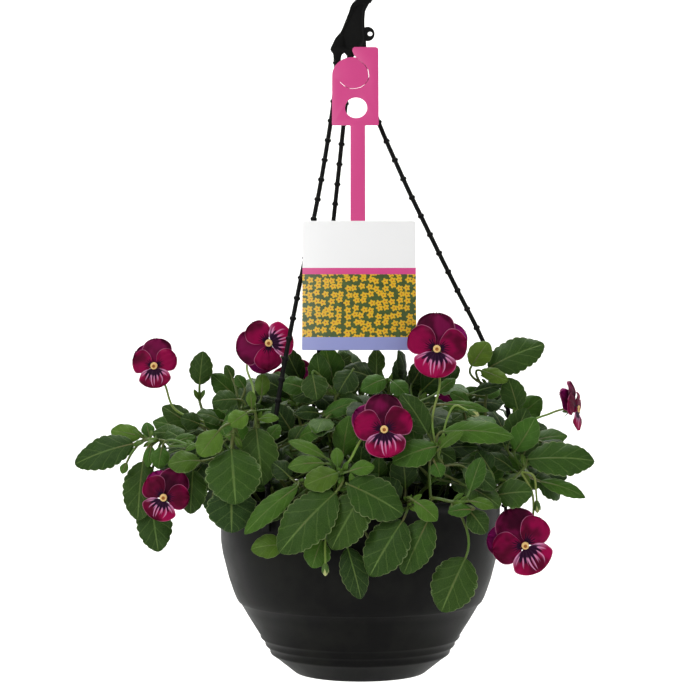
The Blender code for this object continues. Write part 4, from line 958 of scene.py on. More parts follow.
def closed_sheet(form, rows, columns, point_at, tint, slots):
    """Thin closed sheet over a grid, pointed at both ends: point_at(u step, across, face)"""
    uv = form.loops.layers.uv.verify()
    layer = form.verts.layers.float_color["tint"]
    first = form.verts.new(point_at(0, 0, 0))
    last = form.verts.new(point_at(rows, 0, 0))
    faces = {}
    for face in (1, -1):
        grid = []
        for row in range(1, rows):
            line = []
            for column in range(columns + 1):
                across = 2 * column / columns - 1
                if face < 0 and abs(across) == 1:
                    line.append(faces[1][row - 1][column])
                else:
                    line.append(form.verts.new(point_at(row, across, face)))
            grid.append(line)
        faces[face] = grid
    for face, grid in faces.items():
        padded = [[first] * (columns + 1)] + grid + [[last] * (columns + 1)]
        for row in range(rows):
            for column in range(columns):
                spots = [(row, column), (row, column + 1), (row + 1, column + 1), (row + 1, column)]
                corners = [(padded[a][b], (b / columns, a / rows)) for a, b in spots]
                if face < 0:
                    corners.reverse()
                kept = []
                for vert, place in corners:
                    if vert not in [entry[0] for entry in kept]:
                        kept.append((vert, place))
                made = form.faces.new([vert for vert, _ in kept])
                made.material_index = slots[0] if face > 0 else slots[1]
                for loop, (_, place) in zip(made.loops, kept):
                    loop[uv].uv = place
    for vert in [first, last] + [vert for grid in faces.values() for line in grid for vert in line]:
        vert[layer] = tint


def varied(colour, draw, spread):
    """Linear colour a little lighter or darker and warmer or cooler than the given one"""
    base = linear(colour)
    light = 1 + draw.uniform(-spread, spread)
    warm = draw.uniform(-spread, spread) * 0.5
    return (base[0] * light * (1 + warm), base[1] * light, base[2] * light * (1 - warm), 1)


def leaf_sheet(form, blade, draw):
    """A leaf with blunt teeth, sunk veins, puckers between them and a wavy rim"""
    depth = BLADE_FORMS[blade.kind][4]
    teeth = max(3, round(blade.length / MM / TOOTH_PITCH_MM))
    rows = teeth * 4
    phase = draw.uniform(0, 2 * math.pi)
    wave = draw.uniform(0.04, 0.09) * blade.half_width if depth else 0
    twist = draw.uniform(-0.12, 0.12)
    thickness = LEAF_THICKNESS_MM * MM

    def point_at(row, across, face):
        t = row / rows
        u = 0.35 * t + 0.65 * (0.5 - 0.5 * math.cos(math.pi * t))
        lobe = abs(math.sin(math.pi * teeth * t)) ** 0.8
        half = blade.half_at(u) * (1 - depth * (1 - lobe)) * across
        side = abs(across)
        vein = abs(math.sin(math.pi * VEIN_PAIRS * (u - 0.34 * side + 0.10 * side * side)))
        pucker = 0.028 * blade.half_width * vein ** 0.7 * side ** 0.4 * (1 - side ** 4)
        groove = -0.45 * MM * math.exp(-(half / (1.1 * MM)) ** 2) * (1 - u)
        ruffle = wave * math.sin(2 * math.pi * 2.1 * u + phase * across) * side ** 2
        lift = (pucker + groove if depth else 0) + ruffle + twist * half * u
        shell = thickness * 0.5 * face * (1 - side ** 6)
        return blade.surface(u, half, lift + shell)

    tint = varied(LEAF_TINTS[blade.kind], draw, 0.16)
    columns = 10 if blade.length > SMALL_LEAF_MM * MM else 6
    closed_sheet(form, rows, columns, point_at, tint, (0, 1))
    rib = []
    for step in range(9):
        u = 0.9 * step / 8
        rib.append(blade.surface(u, 0, -0.45 * MM * (1 - u)))
    sweep(form, rib, [(0.95 - 0.75 * step / 8) * MM for step in range(9)], 6, 2)


def stipule_pair(form, root, direction, draw, size):
    """Two small leafy stipules at the foot of a leaf stalk"""
    for side in (-1, 1):
        away = (direction + direction.orthogonal().normalized() * side * draw.uniform(0.5, 1.0)
                + Vector((0, 0, draw.uniform(0.1, 0.7)))).normalized()
        length = draw.uniform(7, 12) * size * MM
        base = root + away * 1.5 * MM
        blade = Blade("young", base, base + away * length, length * 0.4, FRONT_LOOK)
        leaf_sheet(form, blade, draw)


def flower_bud(form, line):
    """Closed bud at the end of its stalk, wrapped in five narrow sepals"""
    tip = line[-1]
    heading = (line[-1] - line[-4]).normalized()
    foot = tip - heading * 9 * MM
    body = [foot + heading * 9.5 * MM * step / 8 for step in range(9)]
    radii = [BUD_RADIUS_MM * 0.86 * MM * math.sin(math.pi * (0.12 + 0.86 * step / 8)) ** 0.7
             for step in range(9)]
    sweep(form, body, radii, 10, 3)
    side = heading.orthogonal().normalized()
    for number in range(5):
        away = Matrix.Rotation(2 * math.pi * number / 5, 3, heading) @ side
        base = foot - heading * 0.6 * MM + away * 1.0 * MM
        tip_place = foot + heading * 7.4 * MM + away * 2.9 * MM
        sepal = Blade("sepal", base, tip_place, 3.6 * MM, away)
        leaf_sheet(form, sepal, random.Random(number))


def calyx(form, bloom):
    """Five green sepals that lean back behind a flower"""
    root = bloom.back - bloom.face * SEPAL_DROP_MM * MM
    for number in range(5):
        away = bloom.toward(36 + 72 * number)
        tip = root + away * SEPAL_REACH_MM * MM - bloom.face * SEPAL_LEAN_MM * MM
        sepal = Blade("sepal", root + away * 0.6 * MM, tip, SEPAL_WIDTH_MM * MM, bloom.face)
        leaf_sheet(form, sepal, random.Random(number))


class Bloom:
    """An open flower: its face, its eye and how it is turned"""

    def __init__(self, eye, look, roll, size, side):
        self.face = Vector(look).normalized()
        self.up = (Vector((0, 0, 1)) - self.face * self.face.z).normalized()
        self.right = self.up.cross(self.face)
        self.roll = roll
        self.size = size
        self.side = side
        self.eye = mm(*eye)
        self.centre = self.eye - self.face * 1.85 * MM
        self.back = self.centre - self.face * 5.0 * MM

    def toward(self, turn):
        angle = math.radians(turn * self.side + self.roll)
        return self.up * math.cos(angle) - self.right * math.sin(angle)


BLOOMS = {name: Bloom(*settings) for name, settings in BLOOMS_MM.items()}


def back_shoots(draw):
    """Stems over the back of the rim, and short upright ones in the middle"""
    made = []
    for index in range(BACK_SHOOTS):
        turn = BACK_FIRST_TURN + (BACK_LAST_TURN - BACK_FIRST_TURN) * index / (BACK_SHOOTS - 1)
        turn += draw.uniform(-3, 3)
        reach = draw.uniform(*BACK_REACH_MM) * MM
        root = around(draw.choice(BACK_ROOTS_MM) * MM, turn, 0)
        height = draw.uniform(*BACK_HIGH_MM) * MM
        stem = [around(reach * 0.78, turn, height), around(reach * 0.92, turn + 3, height + 4 * MM),
                around(reach, turn + 5, height - 6 * MM)]
        made.append((f"back_{index + 1}", root, stem, turn, BACK_SHARES, 1.0))
    for index, turn in enumerate(UPRIGHT_TURNS):
        root, *stem = [around(radius * MM, turn, height * MM) for radius, height in UPRIGHT_MM]
        made.append((f"upright_{index + 1}", root, stem, turn, UPRIGHT_SHARES, UPRIGHT_SIZE))
    return made


def rule_leaves(draw, line, turn, shares, size):
    """Leaves to each side in turn along a stem, the last one at its tip"""
    total = line_length(line)
    made = []
    for number, share in enumerate(shares):
        side = (1 if number % 2 else -1) * draw.uniform(*RULE_SIDE_TURN)
        if number == len(shares) - 1:
            side = draw.uniform(*RULE_TIP_TURN)
        away = around(1, turn + side, 0)
        start = along(line, share * total)
        length = draw.uniform(*RULE_LENGTH_MM) * size * MM
        droop = draw.uniform(*RULE_DROOP)
        base = start + away * draw.uniform(*RULE_FOOT_MM) * MM + Vector((0, 0, 5 * MM))
        tip = base + (away - Vector((0, 0, droop))).normalized() * length
        look = around(0.7, turn + side * 0.5, 0.7)
        # Mostly the dark and deep greens, which are painted shade
        kind = draw.choice(("dark", "dark", "mid", "deep"))
        blade = Blade(kind, base, tip, length * draw.uniform(*RULE_WIDTH), look)
        made.append((blade, start))
    return made


def stem_points(root, stem):
    """Route of a stem from its foot in the soil"""
    top = POT_LOW.z + SOIL_TOP_MM * MM
    return [Vector((root.x, root.y, top - STEM_DEPTH_MM * MM)),
            Vector((root.x, root.y, top + STEM_RISE_MM * MM))] + stem


def leaf_surface(name, under):
    """Living leaf: a waxy cuticle with a soft sheen and sunk veins above, paler and matt below

    The green is mottled in spots of 8 mm, with a pale midrib, side veins, vein net and rim. Below,
    the veins stand out.
    """
    made, shader = finish_named(name)
    axes = add(made, "SeparateXYZ", {0: add(made, "UVMap", {})})
    across = add(made, "Math", {0: axes.outputs[0], 1: 2.0, 2: -1.0}, operation="MULTIPLY_ADD")
    side = add(made, "Math", {0: across}, operation="ABSOLUTE")
    bowed = add(made, "Math", {0: side, 1: 2.0}, operation="POWER")
    lag = add(made, "Math", {0: bowed, 1: 0.10, 2: axes.outputs[1]}, operation="MULTIPLY_ADD")
    lag = add(made, "Math", {0: side, 1: -0.34, 2: lag}, operation="MULTIPLY_ADD")
    beat = add(made, "Math", {0: lag, 1: math.pi * VEIN_PAIRS}, operation="MULTIPLY")
    beat = add(made, "Math", {0: beat}, operation="SINE")
    beat = add(made, "Math", {0: beat}, operation="ABSOLUTE")
    laterals, rib, rim = [
        add(made, "MapRange", {"Value": source, "From Min": start, "From Max": end},
            interpolation_type="SMOOTHSTEP")
        for source, start, end in ((beat, 0.26, 0.0), (side, 0.075, 0.0), (side, 0.955, 0.985))]
    place = add(made, "TexCoord", {}).outputs["Object"]
    cells = add(made, "TexVoronoi", {"Vector": place, "Scale": NET_CELLS},
                feature="DISTANCE_TO_EDGE")
    net = add(made, "MapRange", {"Value": cells, "From Min": 0.09, "From Max": 0.0})
    mottle = add(made, "TexNoise", {"Vector": place, "Scale": 120.0, "Detail": 4.0})
    shade = add(made, "MapRange", {"Value": mottle, "From Min": 0.3, "From Max": 0.7,
                                   "To Max": 0.32})
    tint = add(made, "Attribute", {}, attribute_name="tint")
    green = add(made, "Mix", {0: shade, 6: tint, 7: LEAF_SHADE}, data_type="RGBA")
    for mask, amount, colour in ((net, 0.10, LEAF_VEIN), (laterals, 0.15, LEAF_VEIN),
                                 (rib, 0.50, LEAF_VEIN), (rim, 0.40, LEAF_RIM)):
        share = add(made, "Math", {0: mask, 1: amount}, operation="MULTIPLY")
        green = add(made, "Mix", {0: share, 6: green, 7: colour}, data_type="RGBA")
    if under:
        green = add(made, "Mix", {0: 0.42, 6: green, 7: LEAF_UNDER}, data_type="RGBA")
    veins = add(made, "Math", {0: laterals, 1: 0.7}, operation="MULTIPLY")
    veins = add(made, "Math", {0: veins, 1: rib}, operation="MAXIMUM")
    veins = add(made, "Math", {0: net, 1: 0.22, 2: veins}, operation="MULTIPLY_ADD")
    gloss = add(made, "MapRange", {"Value": mottle, "From Min": 0.3, "From Max": 0.7,
                                   "To Min": 0.62 if under else 0.42,
                                   "To Max": 0.74 if under else 0.56})
    bump = add(made, "Bump", {"Height": veins, "Strength": 0.6, "Distance": 0.35 * MM},
               invert=not under)
    join(made, shader, {"Base Color": green, "Roughness": gloss, "IOR": 1.42,
                        "Specular IOR Level": 0.2, "Normal": bump})
    return made


def green_stem(name, low, high):
    """Juicy stem skin: a moist sheen on fine ridges along it, and another tint in places"""
    made, shader = finish_named(name)
    place = add(made, "TexCoord", {}).outputs["Object"]
    flush = add(made, "TexNoise", {"Vector": place, "Scale": 60.0, "Detail": 3.0})
    amount = add(made, "MapRange", {"Value": flush, "From Min": 0.35, "From Max": 0.7})
    axes = add(made, "SeparateXYZ", {0: add(made, "UVMap", {})})
    ridges = add(made, "Math", {0: axes.outputs[1], 1: 16 * math.pi}, operation="MULTIPLY")
    ridges = add(made, "Math", {0: ridges}, operation="SINE")
    join(made, shader, {
        "Base Color": add(made, "Mix", {0: amount, 6: low, 7: high}, data_type="RGBA"),
        "Roughness": 0.45, "IOR": 1.40,
        "Normal": add(made, "Bump", {"Height": ridges, "Strength": 0.4, "Distance": 0.12 * MM})})
    return made


greens = [leaf_surface("pansy_leaf_upper_face", False), leaf_surface("pansy_leaf_lower_face", True),
          green_stem("pansy_stem", STEM_GREEN, STEM_BROWN),
          green_stem("pansy_bud", BUD_GREEN, BUD_CREAM),
          green_stem("pansy_flower_stalk", STALK_GREEN, STALK_OLIVE)]
shape_draw = random.Random(11)
look_draw = random.Random(4)
# The CAD's corners say how far it settled each piece. Its own coarse line gives the starts of
# leaves and flowers, and a finer one the stem.
shoot_forms = {}
shoot_corners = {}
cad_lines = {}
shoot_lines = {}
fronts = [(name, mm(*root, 0), [mm(*point) for point in stem])
          for name, root, stem, _, _ in SHOOTS_MM]
backs = back_shoots(shape_draw)
for name, root, stem in fronts + [entry[:3] for entry in backs]:
    form = bmesh.new()
    form.verts.layers.float_color.new("tint")
    shoot_forms[name] = form
    shoot_corners[name] = lookup([corner.co for corner
                                  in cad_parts["shoot_" + name].data.vertices])
    route = stem_points(root, stem)
    route = settled_line(route, range(2, len(route)), stem_radius, shoot_corners[name])
    shoot_lines[name] = smooth_line(route, FINE_STEP_MM * MM)
    cad_lines[name] = smooth_line(route, CAD_STEM_STEP_MM * MM)
    line = shoot_lines[name]
    sweep(form, line, [stem_radius(index / (len(line) - 1)) for index in range(len(line))], 10, 2)


def grow_flower(name, kind, share, route):
    """Flower stalk with its sepals, or a stalk with a bud"""
    line = cad_lines[name]
    form = shoot_forms[name]
    points = [along(line, share * line_length(line))] + [mm(*point) for point in route]
    is_bud = kind == "bud"
    if not is_bud:
        bloom = BLOOMS[kind]
        points += [bloom.back - bloom.face * 8 * MM, bloom.back]
    movable = range(1, len(points) - (0 if is_bud else 2))
    radius_at = bud_radius if is_bud else flower_stalk_radius
    points = settled_line(points, movable, radius_at, shoot_corners[name])
    stalk = smooth_line(points, FINE_STEP_MM * MM)
    if is_bud:
        sweep(form, stalk[:-2], [0.9 * MM] * (len(stalk) - 2), 8, 4)
        flower_bud(form, stalk)
    else:
        radii = [flower_stalk_radius(index / (len(stalk) - 1)) for index in range(len(stalk))]
        sweep(form, stalk, radii, 8, 4)
        calyx(form, bloom)


def grow_leaf(name, blade, root, push):
    """Leaf on its stalk with two stipules, where the CAD has it"""
    moved = settled_leaf(blade, push, shoot_corners[name])
    if moved is None:
        print("left out a leaf of", name)
        return
    form = shoot_forms[name]
    stalk = settled_stalk(root, moved, shoot_corners[name])
    sweep(form, stalk, [LEAF_STALK_RADIUS_MM * MM * (1.15 - 0.25 * step / 7)
                        for step in range(8)], 8, 2)
    leaf_sheet(form, moved, look_draw)
    stipule_pair(form, root, (stalk[1] - stalk[0]).normalized(), look_draw,
                 min(1.2, moved.length / (30 * MM)))


for name, _, _, _, flowers in SHOOTS_MM:
    for kind, share, route in flowers:
        grow_flower(name, kind, share, route)
for name, flower, share, route in BACK_FLOWERS_MM:
    grow_flower(name, flower, share, route)
for name, _, _, leaves, _ in SHOOTS_MM:
    line = cad_lines[name]
    for kind, share, base, tip, width in leaves:
        grow_leaf(name, Blade(kind, mm(*base), mm(*tip), width * MM, FRONT_LOOK),
                  along(line, share * line_length(line)), Vector((0, -1, 0)))
for name, _, _, turn, shares, size in backs:
    for blade, root in rule_leaves(shape_draw, cad_lines[name], turn, shares, size):
        grow_leaf(name, blade, root, around(0.5, turn, 0.8))


def in_the_way(spots):
    """Whether a leaf would stand before a bloom or the left strand, which are seen in full"""
    kept = [(bloom.centre, BLOOM_CLEAR_MM * MM * bloom.size, 4 * MM)
            for bloom in BLOOMS.values() if bloom.face.y < 0]
    kept += [(point, STRAND_CLEAR_MM * MM, 0) for point in strand_lines["left"][::8]]
    return any((spot - point).xz.length < clear and spot.y < point.y + behind
               for point, clear, behind in kept for spot in spots)


def inner_spot(draw):
    """Where a leaf inside the plant starts, or None outside the dome or too low at the rim"""
    spot = Vector((draw.uniform(*INNER_ACROSS_MM), draw.uniform(*INNER_DEEP_MM),
                   draw.uniform(*INNER_HIGH_MM))) * MM
    flat = math.hypot(spot.x / (INNER_PLAN_MM[0] * MM), spot.y / (INNER_PLAN_MM[1] * MM))
    top = (INNER_HIGH_MM[1] - INNER_DOME_MM * flat ** 2) * MM
    at_rim = (math.hypot(spot.x, spot.y) > RIM_ZONE_MM[0] * MM
              and spot.z < POT_LOW.z + RIM_ZONE_MM[1] * MM)
    return None if spot.z > top or flat > 1 or at_rim else spot


def gap_spot(draw, across, high):
    """Where the line of sight through a gap passes through the plant, at a drawn depth"""
    middle = mm(across, 0, high)
    return middle + (middle - mm(*SEEN_FROM_MM)) * draw.uniform(*GAP_DEEP)


def inner_leaf(draw, spot, middle, taken):
    """Leaf inside the plant on a stalk from the nearest stem, or None where it has no room

    It starts at the spot, or has it at its middle. It grows away from its stem and outward,
    turned a little up and to the front.
    """
    root, index, gap = stem_spots.find(spot)
    if not INNER_REACH_MM[0] * MM < gap < INNER_REACH_MM[1] * MM:
        return None
    away = (spot - root).normalized()
    out = Vector((spot.x, spot.y - INNER_CENTRE_MM * MM, 0)).normalized()
    length = draw.uniform(*INNER_LENGTH_MM) * MM
    heading = away * 0.6 + out * 0.5 + Vector((draw.uniform(-0.5, 0.5), draw.uniform(-0.3, 0.3),
                                               draw.uniform(-0.45, 0.35)))
    start = spot - heading.normalized() * length * middle
    # Mostly the deep and dark greens, which are painted shade inside the plant
    blade = Blade(draw.choice(("deep", "dark", "deep", "mid")), start,
                  start + heading.normalized() * length, length * draw.uniform(0.62, 0.8),
                  out * 0.45 + Vector((0, -0.45, 0.5)))
    blade_spots = [blade.surface(u, blade.half_at(u) * across, 0)
                   for u in (0.1, 0.3, 0.5, 0.7, 0.9, 1) for across in (-1, -0.5, 0, 0.5, 1)]
    stalk = stalk_line(root, blade, 0.3, 7)
    if in_the_way(blade_spots):
        return None
    if any(solids.find_nearest(point)[3] <= SOLID_CLEAR_MM * MM
           or taken.find(point)[2] < INNER_GAP_MM * MM for point in blade_spots + stalk[3:]):
        return None
    return stem_owners[index], blade, stalk, blade_spots + stalk[2:]


def grow_inner_leaf(tries, spot_of, middle):
    """One leaf inside the plant, at the first drawn spot that has room for it"""
    taken = lookup(taken_spots)
    for _ in range(tries):
        spot = spot_of()
        found = None if spot is None else inner_leaf(inner_draw, spot, middle, taken)
        if found:
            name, blade, stalk, spots = found
            sweep(shoot_forms[name], stalk, [LEAF_STALK_RADIUS_MM * MM * 0.9] * 8, 6, 2)
            leaf_sheet(shoot_forms[name], blade, look_draw)
            taken_spots.extend(spots)
            return


def solid_faces():
    """Lookup of the faces of all the CAD's solids"""
    corners = []
    faces = []
    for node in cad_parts.values():
        faces += [[index + len(corners) for index in face.vertices] for face in node.data.polygons]
        corners += [corner.co.copy() for corner in node.data.vertices]
    return BVHTree.FromPolygons(corners, faces)


stem_owners = [name for name, line in shoot_lines.items() for _ in line[2:]]
stem_spots = lookup([spot for line in shoot_lines.values() for spot in line[2:]])
solids = solid_faces()
inner_draw = random.Random(23)
taken_spots = [Vector((0, 0, 0))]
for _ in range(INNER_TRIES):
    grow_inner_leaf(STARTS_PER_TRY, lambda: inner_spot(inner_draw), 0.0)
for across, high in LIGHT_GAPS_MM:
    for _ in range(LEAVES_PER_GAP):
        grow_inner_leaf(GAP_TRIES, lambda: gap_spot(inner_draw, across, high), 0.5)
for name, form in shoot_forms.items():
    piece("leafy_stem_" + name, smooth_mesh(form, name, 60), greens, "foliage", "shoot_" + name)

# Blooms
# Magenta and crimson pansy flowers: two broad back petals, the smaller one folded, two round
# side petals with dark blotches, and a wide lip whose blotch rays out in whiskers. The petals
# are thin, velvety and pale at the rim, and grow together behind the eye.

PETAL_THICKNESS_MM = 0.45
PETAL_ROWS = 22
PETAL_COLUMNS = 24
# Rays of the blotch and the whiskers in a full turn round the claw, and the fan folds across a
# petal, which are drawn two or three times their real width so that they show
RAYS_PER_TURN = 23
FAN_FOLDS = 26
# Form, turn from straight up, length, width, layer at the claw and lean of the tip, all but the
# turn in millimetres, then the ruffle of the rim, the depth of the fold and the finish
PETALS_MM = [
    ("petal", 48, 30, 28, -3.6, -8.0, 1.0, 1.5, 0),
    ("petal", -8, 32, 34, -2.4, -5.5, 1.1, 0.0, 1),
    ("petal", 68, 26.5, 27, -1.2, -2.0, 1.0, 0.0, 2),
    ("petal", -66, 26.5, 27, -1.0, -1.2, 1.0, 0.0, 2),
    ("lip", 180, 24.5, 36, 0.0, 1.0, 0.8, 0.0, 3),
]
CLAW_MM = 2.2
# The core that the petals grow from, as height over the bloom's centre and radius
CORE_MM = [(-4.4, 2.2), (-3.6, 3.0), (-1.8, 3.2), (-0.4, 2.9), (0.3, 2.0)]
EYE_RADIUS_MM = 3.2
EYE_FLATNESS = 0.36
THROAT_OFFSET = 0.12
THROAT_REACH = 0.34
THROAT_DEPTH_MM = 1.2
# Petal colours: each _LIT copy is painted light and each darker copy painted shade, laid in clouds
# over the petal's own colour; MAGENTA is the back petal's own colour and the small back petal's
# painted shade
VIOLET = "70084c"
VIOLET_LIT = "8c1064"
MAGENTA = "50022a"
MAGENTA_LIT = "740a42"
MAGENTA_PAINTED_SHADE = "32001a"
CRIMSON = "6c0233"
CRIMSON_LIT = "900242"
CRIMSON_PAINTED_SHADE = "4a001f"
LIP_CRIMSON = "860239"
LIP_LIT = "a0084a"
BLOTCH = "1d0524"
WHISKER = "d98dba"
PETAL_RIM = "b8688c"
EYE_CREAM = "ecd39a"
EYE_YELLOW = "dda442"
EYE_ORANGE = "9c5c12"


def petal_sheet(form, blade, ruffle_mm, fold_mm, draw, slot):
    """A thin petal with a ruffled rim, fine fan folds and, for one, a crease along it"""
    phase = draw.uniform(0, 2 * math.pi)
    thickness = PETAL_THICKNESS_MM * MM

    def point_at(row, across, face):
        t = row / PETAL_ROWS
        u = 0.25 * t + 0.75 * (0.5 - 0.5 * math.cos(math.pi * t))
        fan = math.sin(4.2 * across * math.pi + phase) + 0.5 * math.sin(7 * across * 3 + phase * 2)
        scallop = 1 + 0.030 * math.sin(11 * t + phase) + 0.012 * math.sin(23 * t + phase * 1.7)
        half = blade.half_at(u) * across * scallop
        out = math.sqrt(min(1.0, (2 * abs(u - 0.45)) ** 2 * 0.6 + across * across))
        lift = ruffle_mm * MM * math.sin(3.1 * math.pi * u * across + phase) * out ** 3
        lift += 0.22 * MM * fan * min(1.0, 3 * u) * (1 - 0.4 * u)
        lift -= fold_mm * MM * math.exp(-((across - 0.18) / 0.10) ** 2) * u
        along_u = u + 0.010 * fan * u * u
        shell = thickness * 0.5 * face * (1 - across ** 6)
        return blade.surface(along_u, half, lift + shell)

    closed_sheet(form, PETAL_ROWS, PETAL_COLUMNS, point_at, (1, 1, 1, 1), (slot, slot))


def laid_over(made, colour, other, source, start, end, most=1.0, times=None):
    """The colour with another over it where the source goes from start to end"""
    share = add(made, "MapRange", {"Value": source, "From Min": start, "From Max": end,
                                   "To Max": most}, interpolation_type="SMOOTHSTEP")
    if times:
        share = add(made, "Math", {0: times, 1: share}, operation="MULTIPLY")
    return add(made, "Mix", {0: share, 6: colour, 7: other}, data_type="RGBA")


def petal_surface(name, base, lit, dark, blotch_reach, whiskers):
    """Velvet petal: deep and hardly glossy, with soft clouds of painted light and shade and a thin
    pale rim

    A ragged dark blotch rays out from the claw. On the lip, pale whiskers run out of it and pale
    flares mark its upper edges. These marks follow the angle and the distance from the claw.
    """
    made, shader = finish_named(name)
    axes = add(made, "SeparateXYZ", {0: add(made, "UVMap", {})})
    up = axes.outputs[1]
    across = add(made, "Math", {0: axes.outputs[0], 1: 2.0, 2: -1.0}, operation="MULTIPLY_ADD")
    side = add(made, "Math", {0: across}, operation="ABSOLUTE")
    place = add(made, "TexCoord", {}).outputs["Object"]
    cloud = add(made, "TexNoise", {"Vector": place, "Scale": 55.0, "Detail": 2.0})
    # Painted light and painted shade: the lit and the dark copy of the colour laid in soft random
    # clouds
    colour = laid_over(made, base, lit, cloud, 0.44, 0.62, 0.8)
    colour = laid_over(made, colour, dark, cloud, 0.52, 0.36, 0.85)
    wide = add(made, "Math", {0: up, 1: 0.5}, operation="POWER")
    wide = add(made, "Math", {0: wide, 1: 0.9}, operation="MULTIPLY")
    wide = add(made, "Math", {0: wide, 1: across}, operation="MULTIPLY")
    turn = add(made, "Math", {0: wide, 1: up}, operation="ARCTAN2")
    spread = add(made, "CombineXYZ", {0: wide, 1: up})
    reach = add(made, "VectorMath", {0: spread}, operation="LENGTH").outputs["Value"]
    ragged = add(made, "TexNoise", {"W": turn, "Scale": 7.0, "Detail": 0.0},
                 noise_dimensions="1D")
    ray = add(made, "Math", {0: ragged, 1: 2.2}, operation="MULTIPLY")
    ray = add(made, "Math", {0: turn, 1: RAYS_PER_TURN / 2, 2: ray}, operation="MULTIPLY_ADD")
    ray = add(made, "Math", {0: ray}, operation="SINE")
    ray = add(made, "Math", {0: ray}, operation="ABSOLUTE")
    edge = add(made, "Math", {0: side, 1: 2.0}, operation="POWER")
    edge = add(made, "Math", {0: edge, 1: -0.14, 2: blotch_reach}, operation="MULTIPLY_ADD")
    if whiskers:
        end = add(made, "Math", {0: ragged, 1: 0.85, 2: edge}, operation="MULTIPLY_ADD")
        past = add(made, "Math", {0: reach, 1: end}, operation="SUBTRACT")
        fade = add(made, "MapRange", {"Value": past, "From Min": -0.33, "From Max": -0.50,
                                      "To Max": whiskers}, interpolation_type="SMOOTHSTEP")
        colour = laid_over(made, colour, WHISKER, ray, 0.60, 0.98, times=fade)
    edge = add(made, "Math", {0: ray, 1: -0.20, 2: edge}, operation="MULTIPLY_ADD")
    past = add(made, "Math", {0: reach, 1: edge}, operation="SUBTRACT")
    colour = laid_over(made, colour, BLOTCH, past, 0.03, -0.04, 0.97)
    if whiskers:
        outer = add(made, "MapRange", {"Value": side, "From Min": 0.60, "From Max": 0.95})
        colour = laid_over(made, colour, WHISKER, up, 0.46, 0.16, 0.9, times=outer)
    colour = laid_over(made, colour, PETAL_RIM, side, 0.93, 0.99, 0.75)
    fan = add(made, "Math", {0: cloud, 1: 9.0}, operation="MULTIPLY")
    fan = add(made, "Math", {0: across, 1: math.pi * FAN_FOLDS, 2: fan}, operation="MULTIPLY_ADD")
    fan = add(made, "Math", {0: fan}, operation="SINE")
    bump = add(made, "Bump", {"Height": fan, "Strength": 0.35, "Distance": 0.10 * MM})
    join(made, shader, {"Base Color": colour, "Roughness": 0.58, "IOR": 1.36, "Normal": bump,
                        "Specular IOR Level": 0.14, "Sheen Weight": 0.04,
                        "Sheen Roughness": 0.4, "Sheen Tint": lit})
    return made


def eye_surface():
    """Waxy eye: a cream hood with a soft shine round a deep orange throat"""
    made, shader = finish_named("pansy_eye_cream_and_orange")
    uv = add(made, "UVMap", {})
    axes = add(made, "SeparateXYZ", {0: uv})
    grain = add(made, "TexNoise", {"Vector": uv, "Scale": 14.0})
    wax = add(made, "Mix", {0: grain, 6: EYE_CREAM, 7: EYE_YELLOW}, data_type="RGBA")
    bump = add(made, "Bump", {"Height": grain, "Strength": 0.4, "Distance": 0.15 * MM})
    join(made, shader, {"Base Color": laid_over(made, wax, EYE_ORANGE, axes.outputs[0], 0.60, 0.36),
                        "Roughness": 0.42, "IOR": 1.4, "Normal": bump})
    return made


petal_finishes = [
    petal_surface("small_back_petal_violet_velvet", VIOLET, VIOLET_LIT, MAGENTA, 0.05, 0),
    petal_surface("back_petal_magenta_velvet", MAGENTA, MAGENTA_LIT, MAGENTA_PAINTED_SHADE, 0.05, 0),
    petal_surface("side_petal_crimson_velvet", CRIMSON, CRIMSON_LIT, CRIMSON_PAINTED_SHADE, 0.46, 0),
    petal_surface("lip_petal_crimson_velvet", LIP_CRIMSON, LIP_LIT, CRIMSON_PAINTED_SHADE, 0.60, 0.85),
]
eye_finish = [eye_surface()]


def aimed(form, direction, origin):
    """Turns a form from straight up to the direction and moves it to its place"""
    turn = Vector((0, 0, 1)).rotation_difference(direction).to_matrix().to_4x4()
    form.transform(Matrix.Translation(origin) @ turn)


for name, bloom in BLOOMS.items():
    form = bmesh.new()
    form.verts.layers.float_color.new("tint")
    for kind, turn, length, width, layer, lean, ruffle, fold, finish in PETALS_MM:
        away = bloom.toward(turn)
        base = bloom.centre + away * CLAW_MM * MM + bloom.face * layer * MM
        tip = (bloom.centre + away * length * bloom.size * MM
               + bloom.face * (layer + lean * bloom.size) * MM)
        blade = Blade(kind, base, tip, width * bloom.size * MM, bloom.face)
        petal_sheet(form, blade, ruffle, fold * bloom.side, look_draw, finish)
    core = [bloom.centre + bloom.face * height * MM for height, _ in CORE_MM]
    sweep(form, core, [radius * MM for _, radius in CORE_MM], 20, 2)
    piece(name + "_corolla", smooth_mesh(form, name, 70), petal_finishes, "petals",
          name + "_petals")
    eye_form = bmesh.new()
    bmesh.ops.create_uvsphere(eye_form, u_segments=28, v_segments=16, radius=EYE_RADIUS_MM * MM)
    eye_uv = eye_form.loops.layers.uv.verify()
    for face in eye_form.faces:
        for loop in face.loops:
            spot = loop.vert.co / (EYE_RADIUS_MM * MM)
            reach = math.hypot(spot.x, spot.y + THROAT_OFFSET) if spot.z > 0 else 1.0
            loop[eye_uv].uv = (reach, math.atan2(spot.x, spot.y) / math.pi)
    for vert in eye_form.verts:
        spot = vert.co / (EYE_RADIUS_MM * MM)
        reach = math.hypot(spot.x, spot.y + THROAT_OFFSET) / THROAT_REACH
        dip = math.exp(-(reach ** 2)) if spot.z > 0 else 0
        vert.co.z = vert.co.z * EYE_FLATNESS - dip * THROAT_DEPTH_MM * MM
    aimed(eye_form, bloom.face, bloom.eye)
    piece(name + "_eye_hood", smooth_mesh(eye_form, name + "_eye", 80), eye_finish,
          "flower_eyes", name + "_eye")

# Floor, light and camera
# A white floor that rises into a white backdrop, soft light from large panels and the camera
# at the photograph's height and distance. Its measures are in metres.

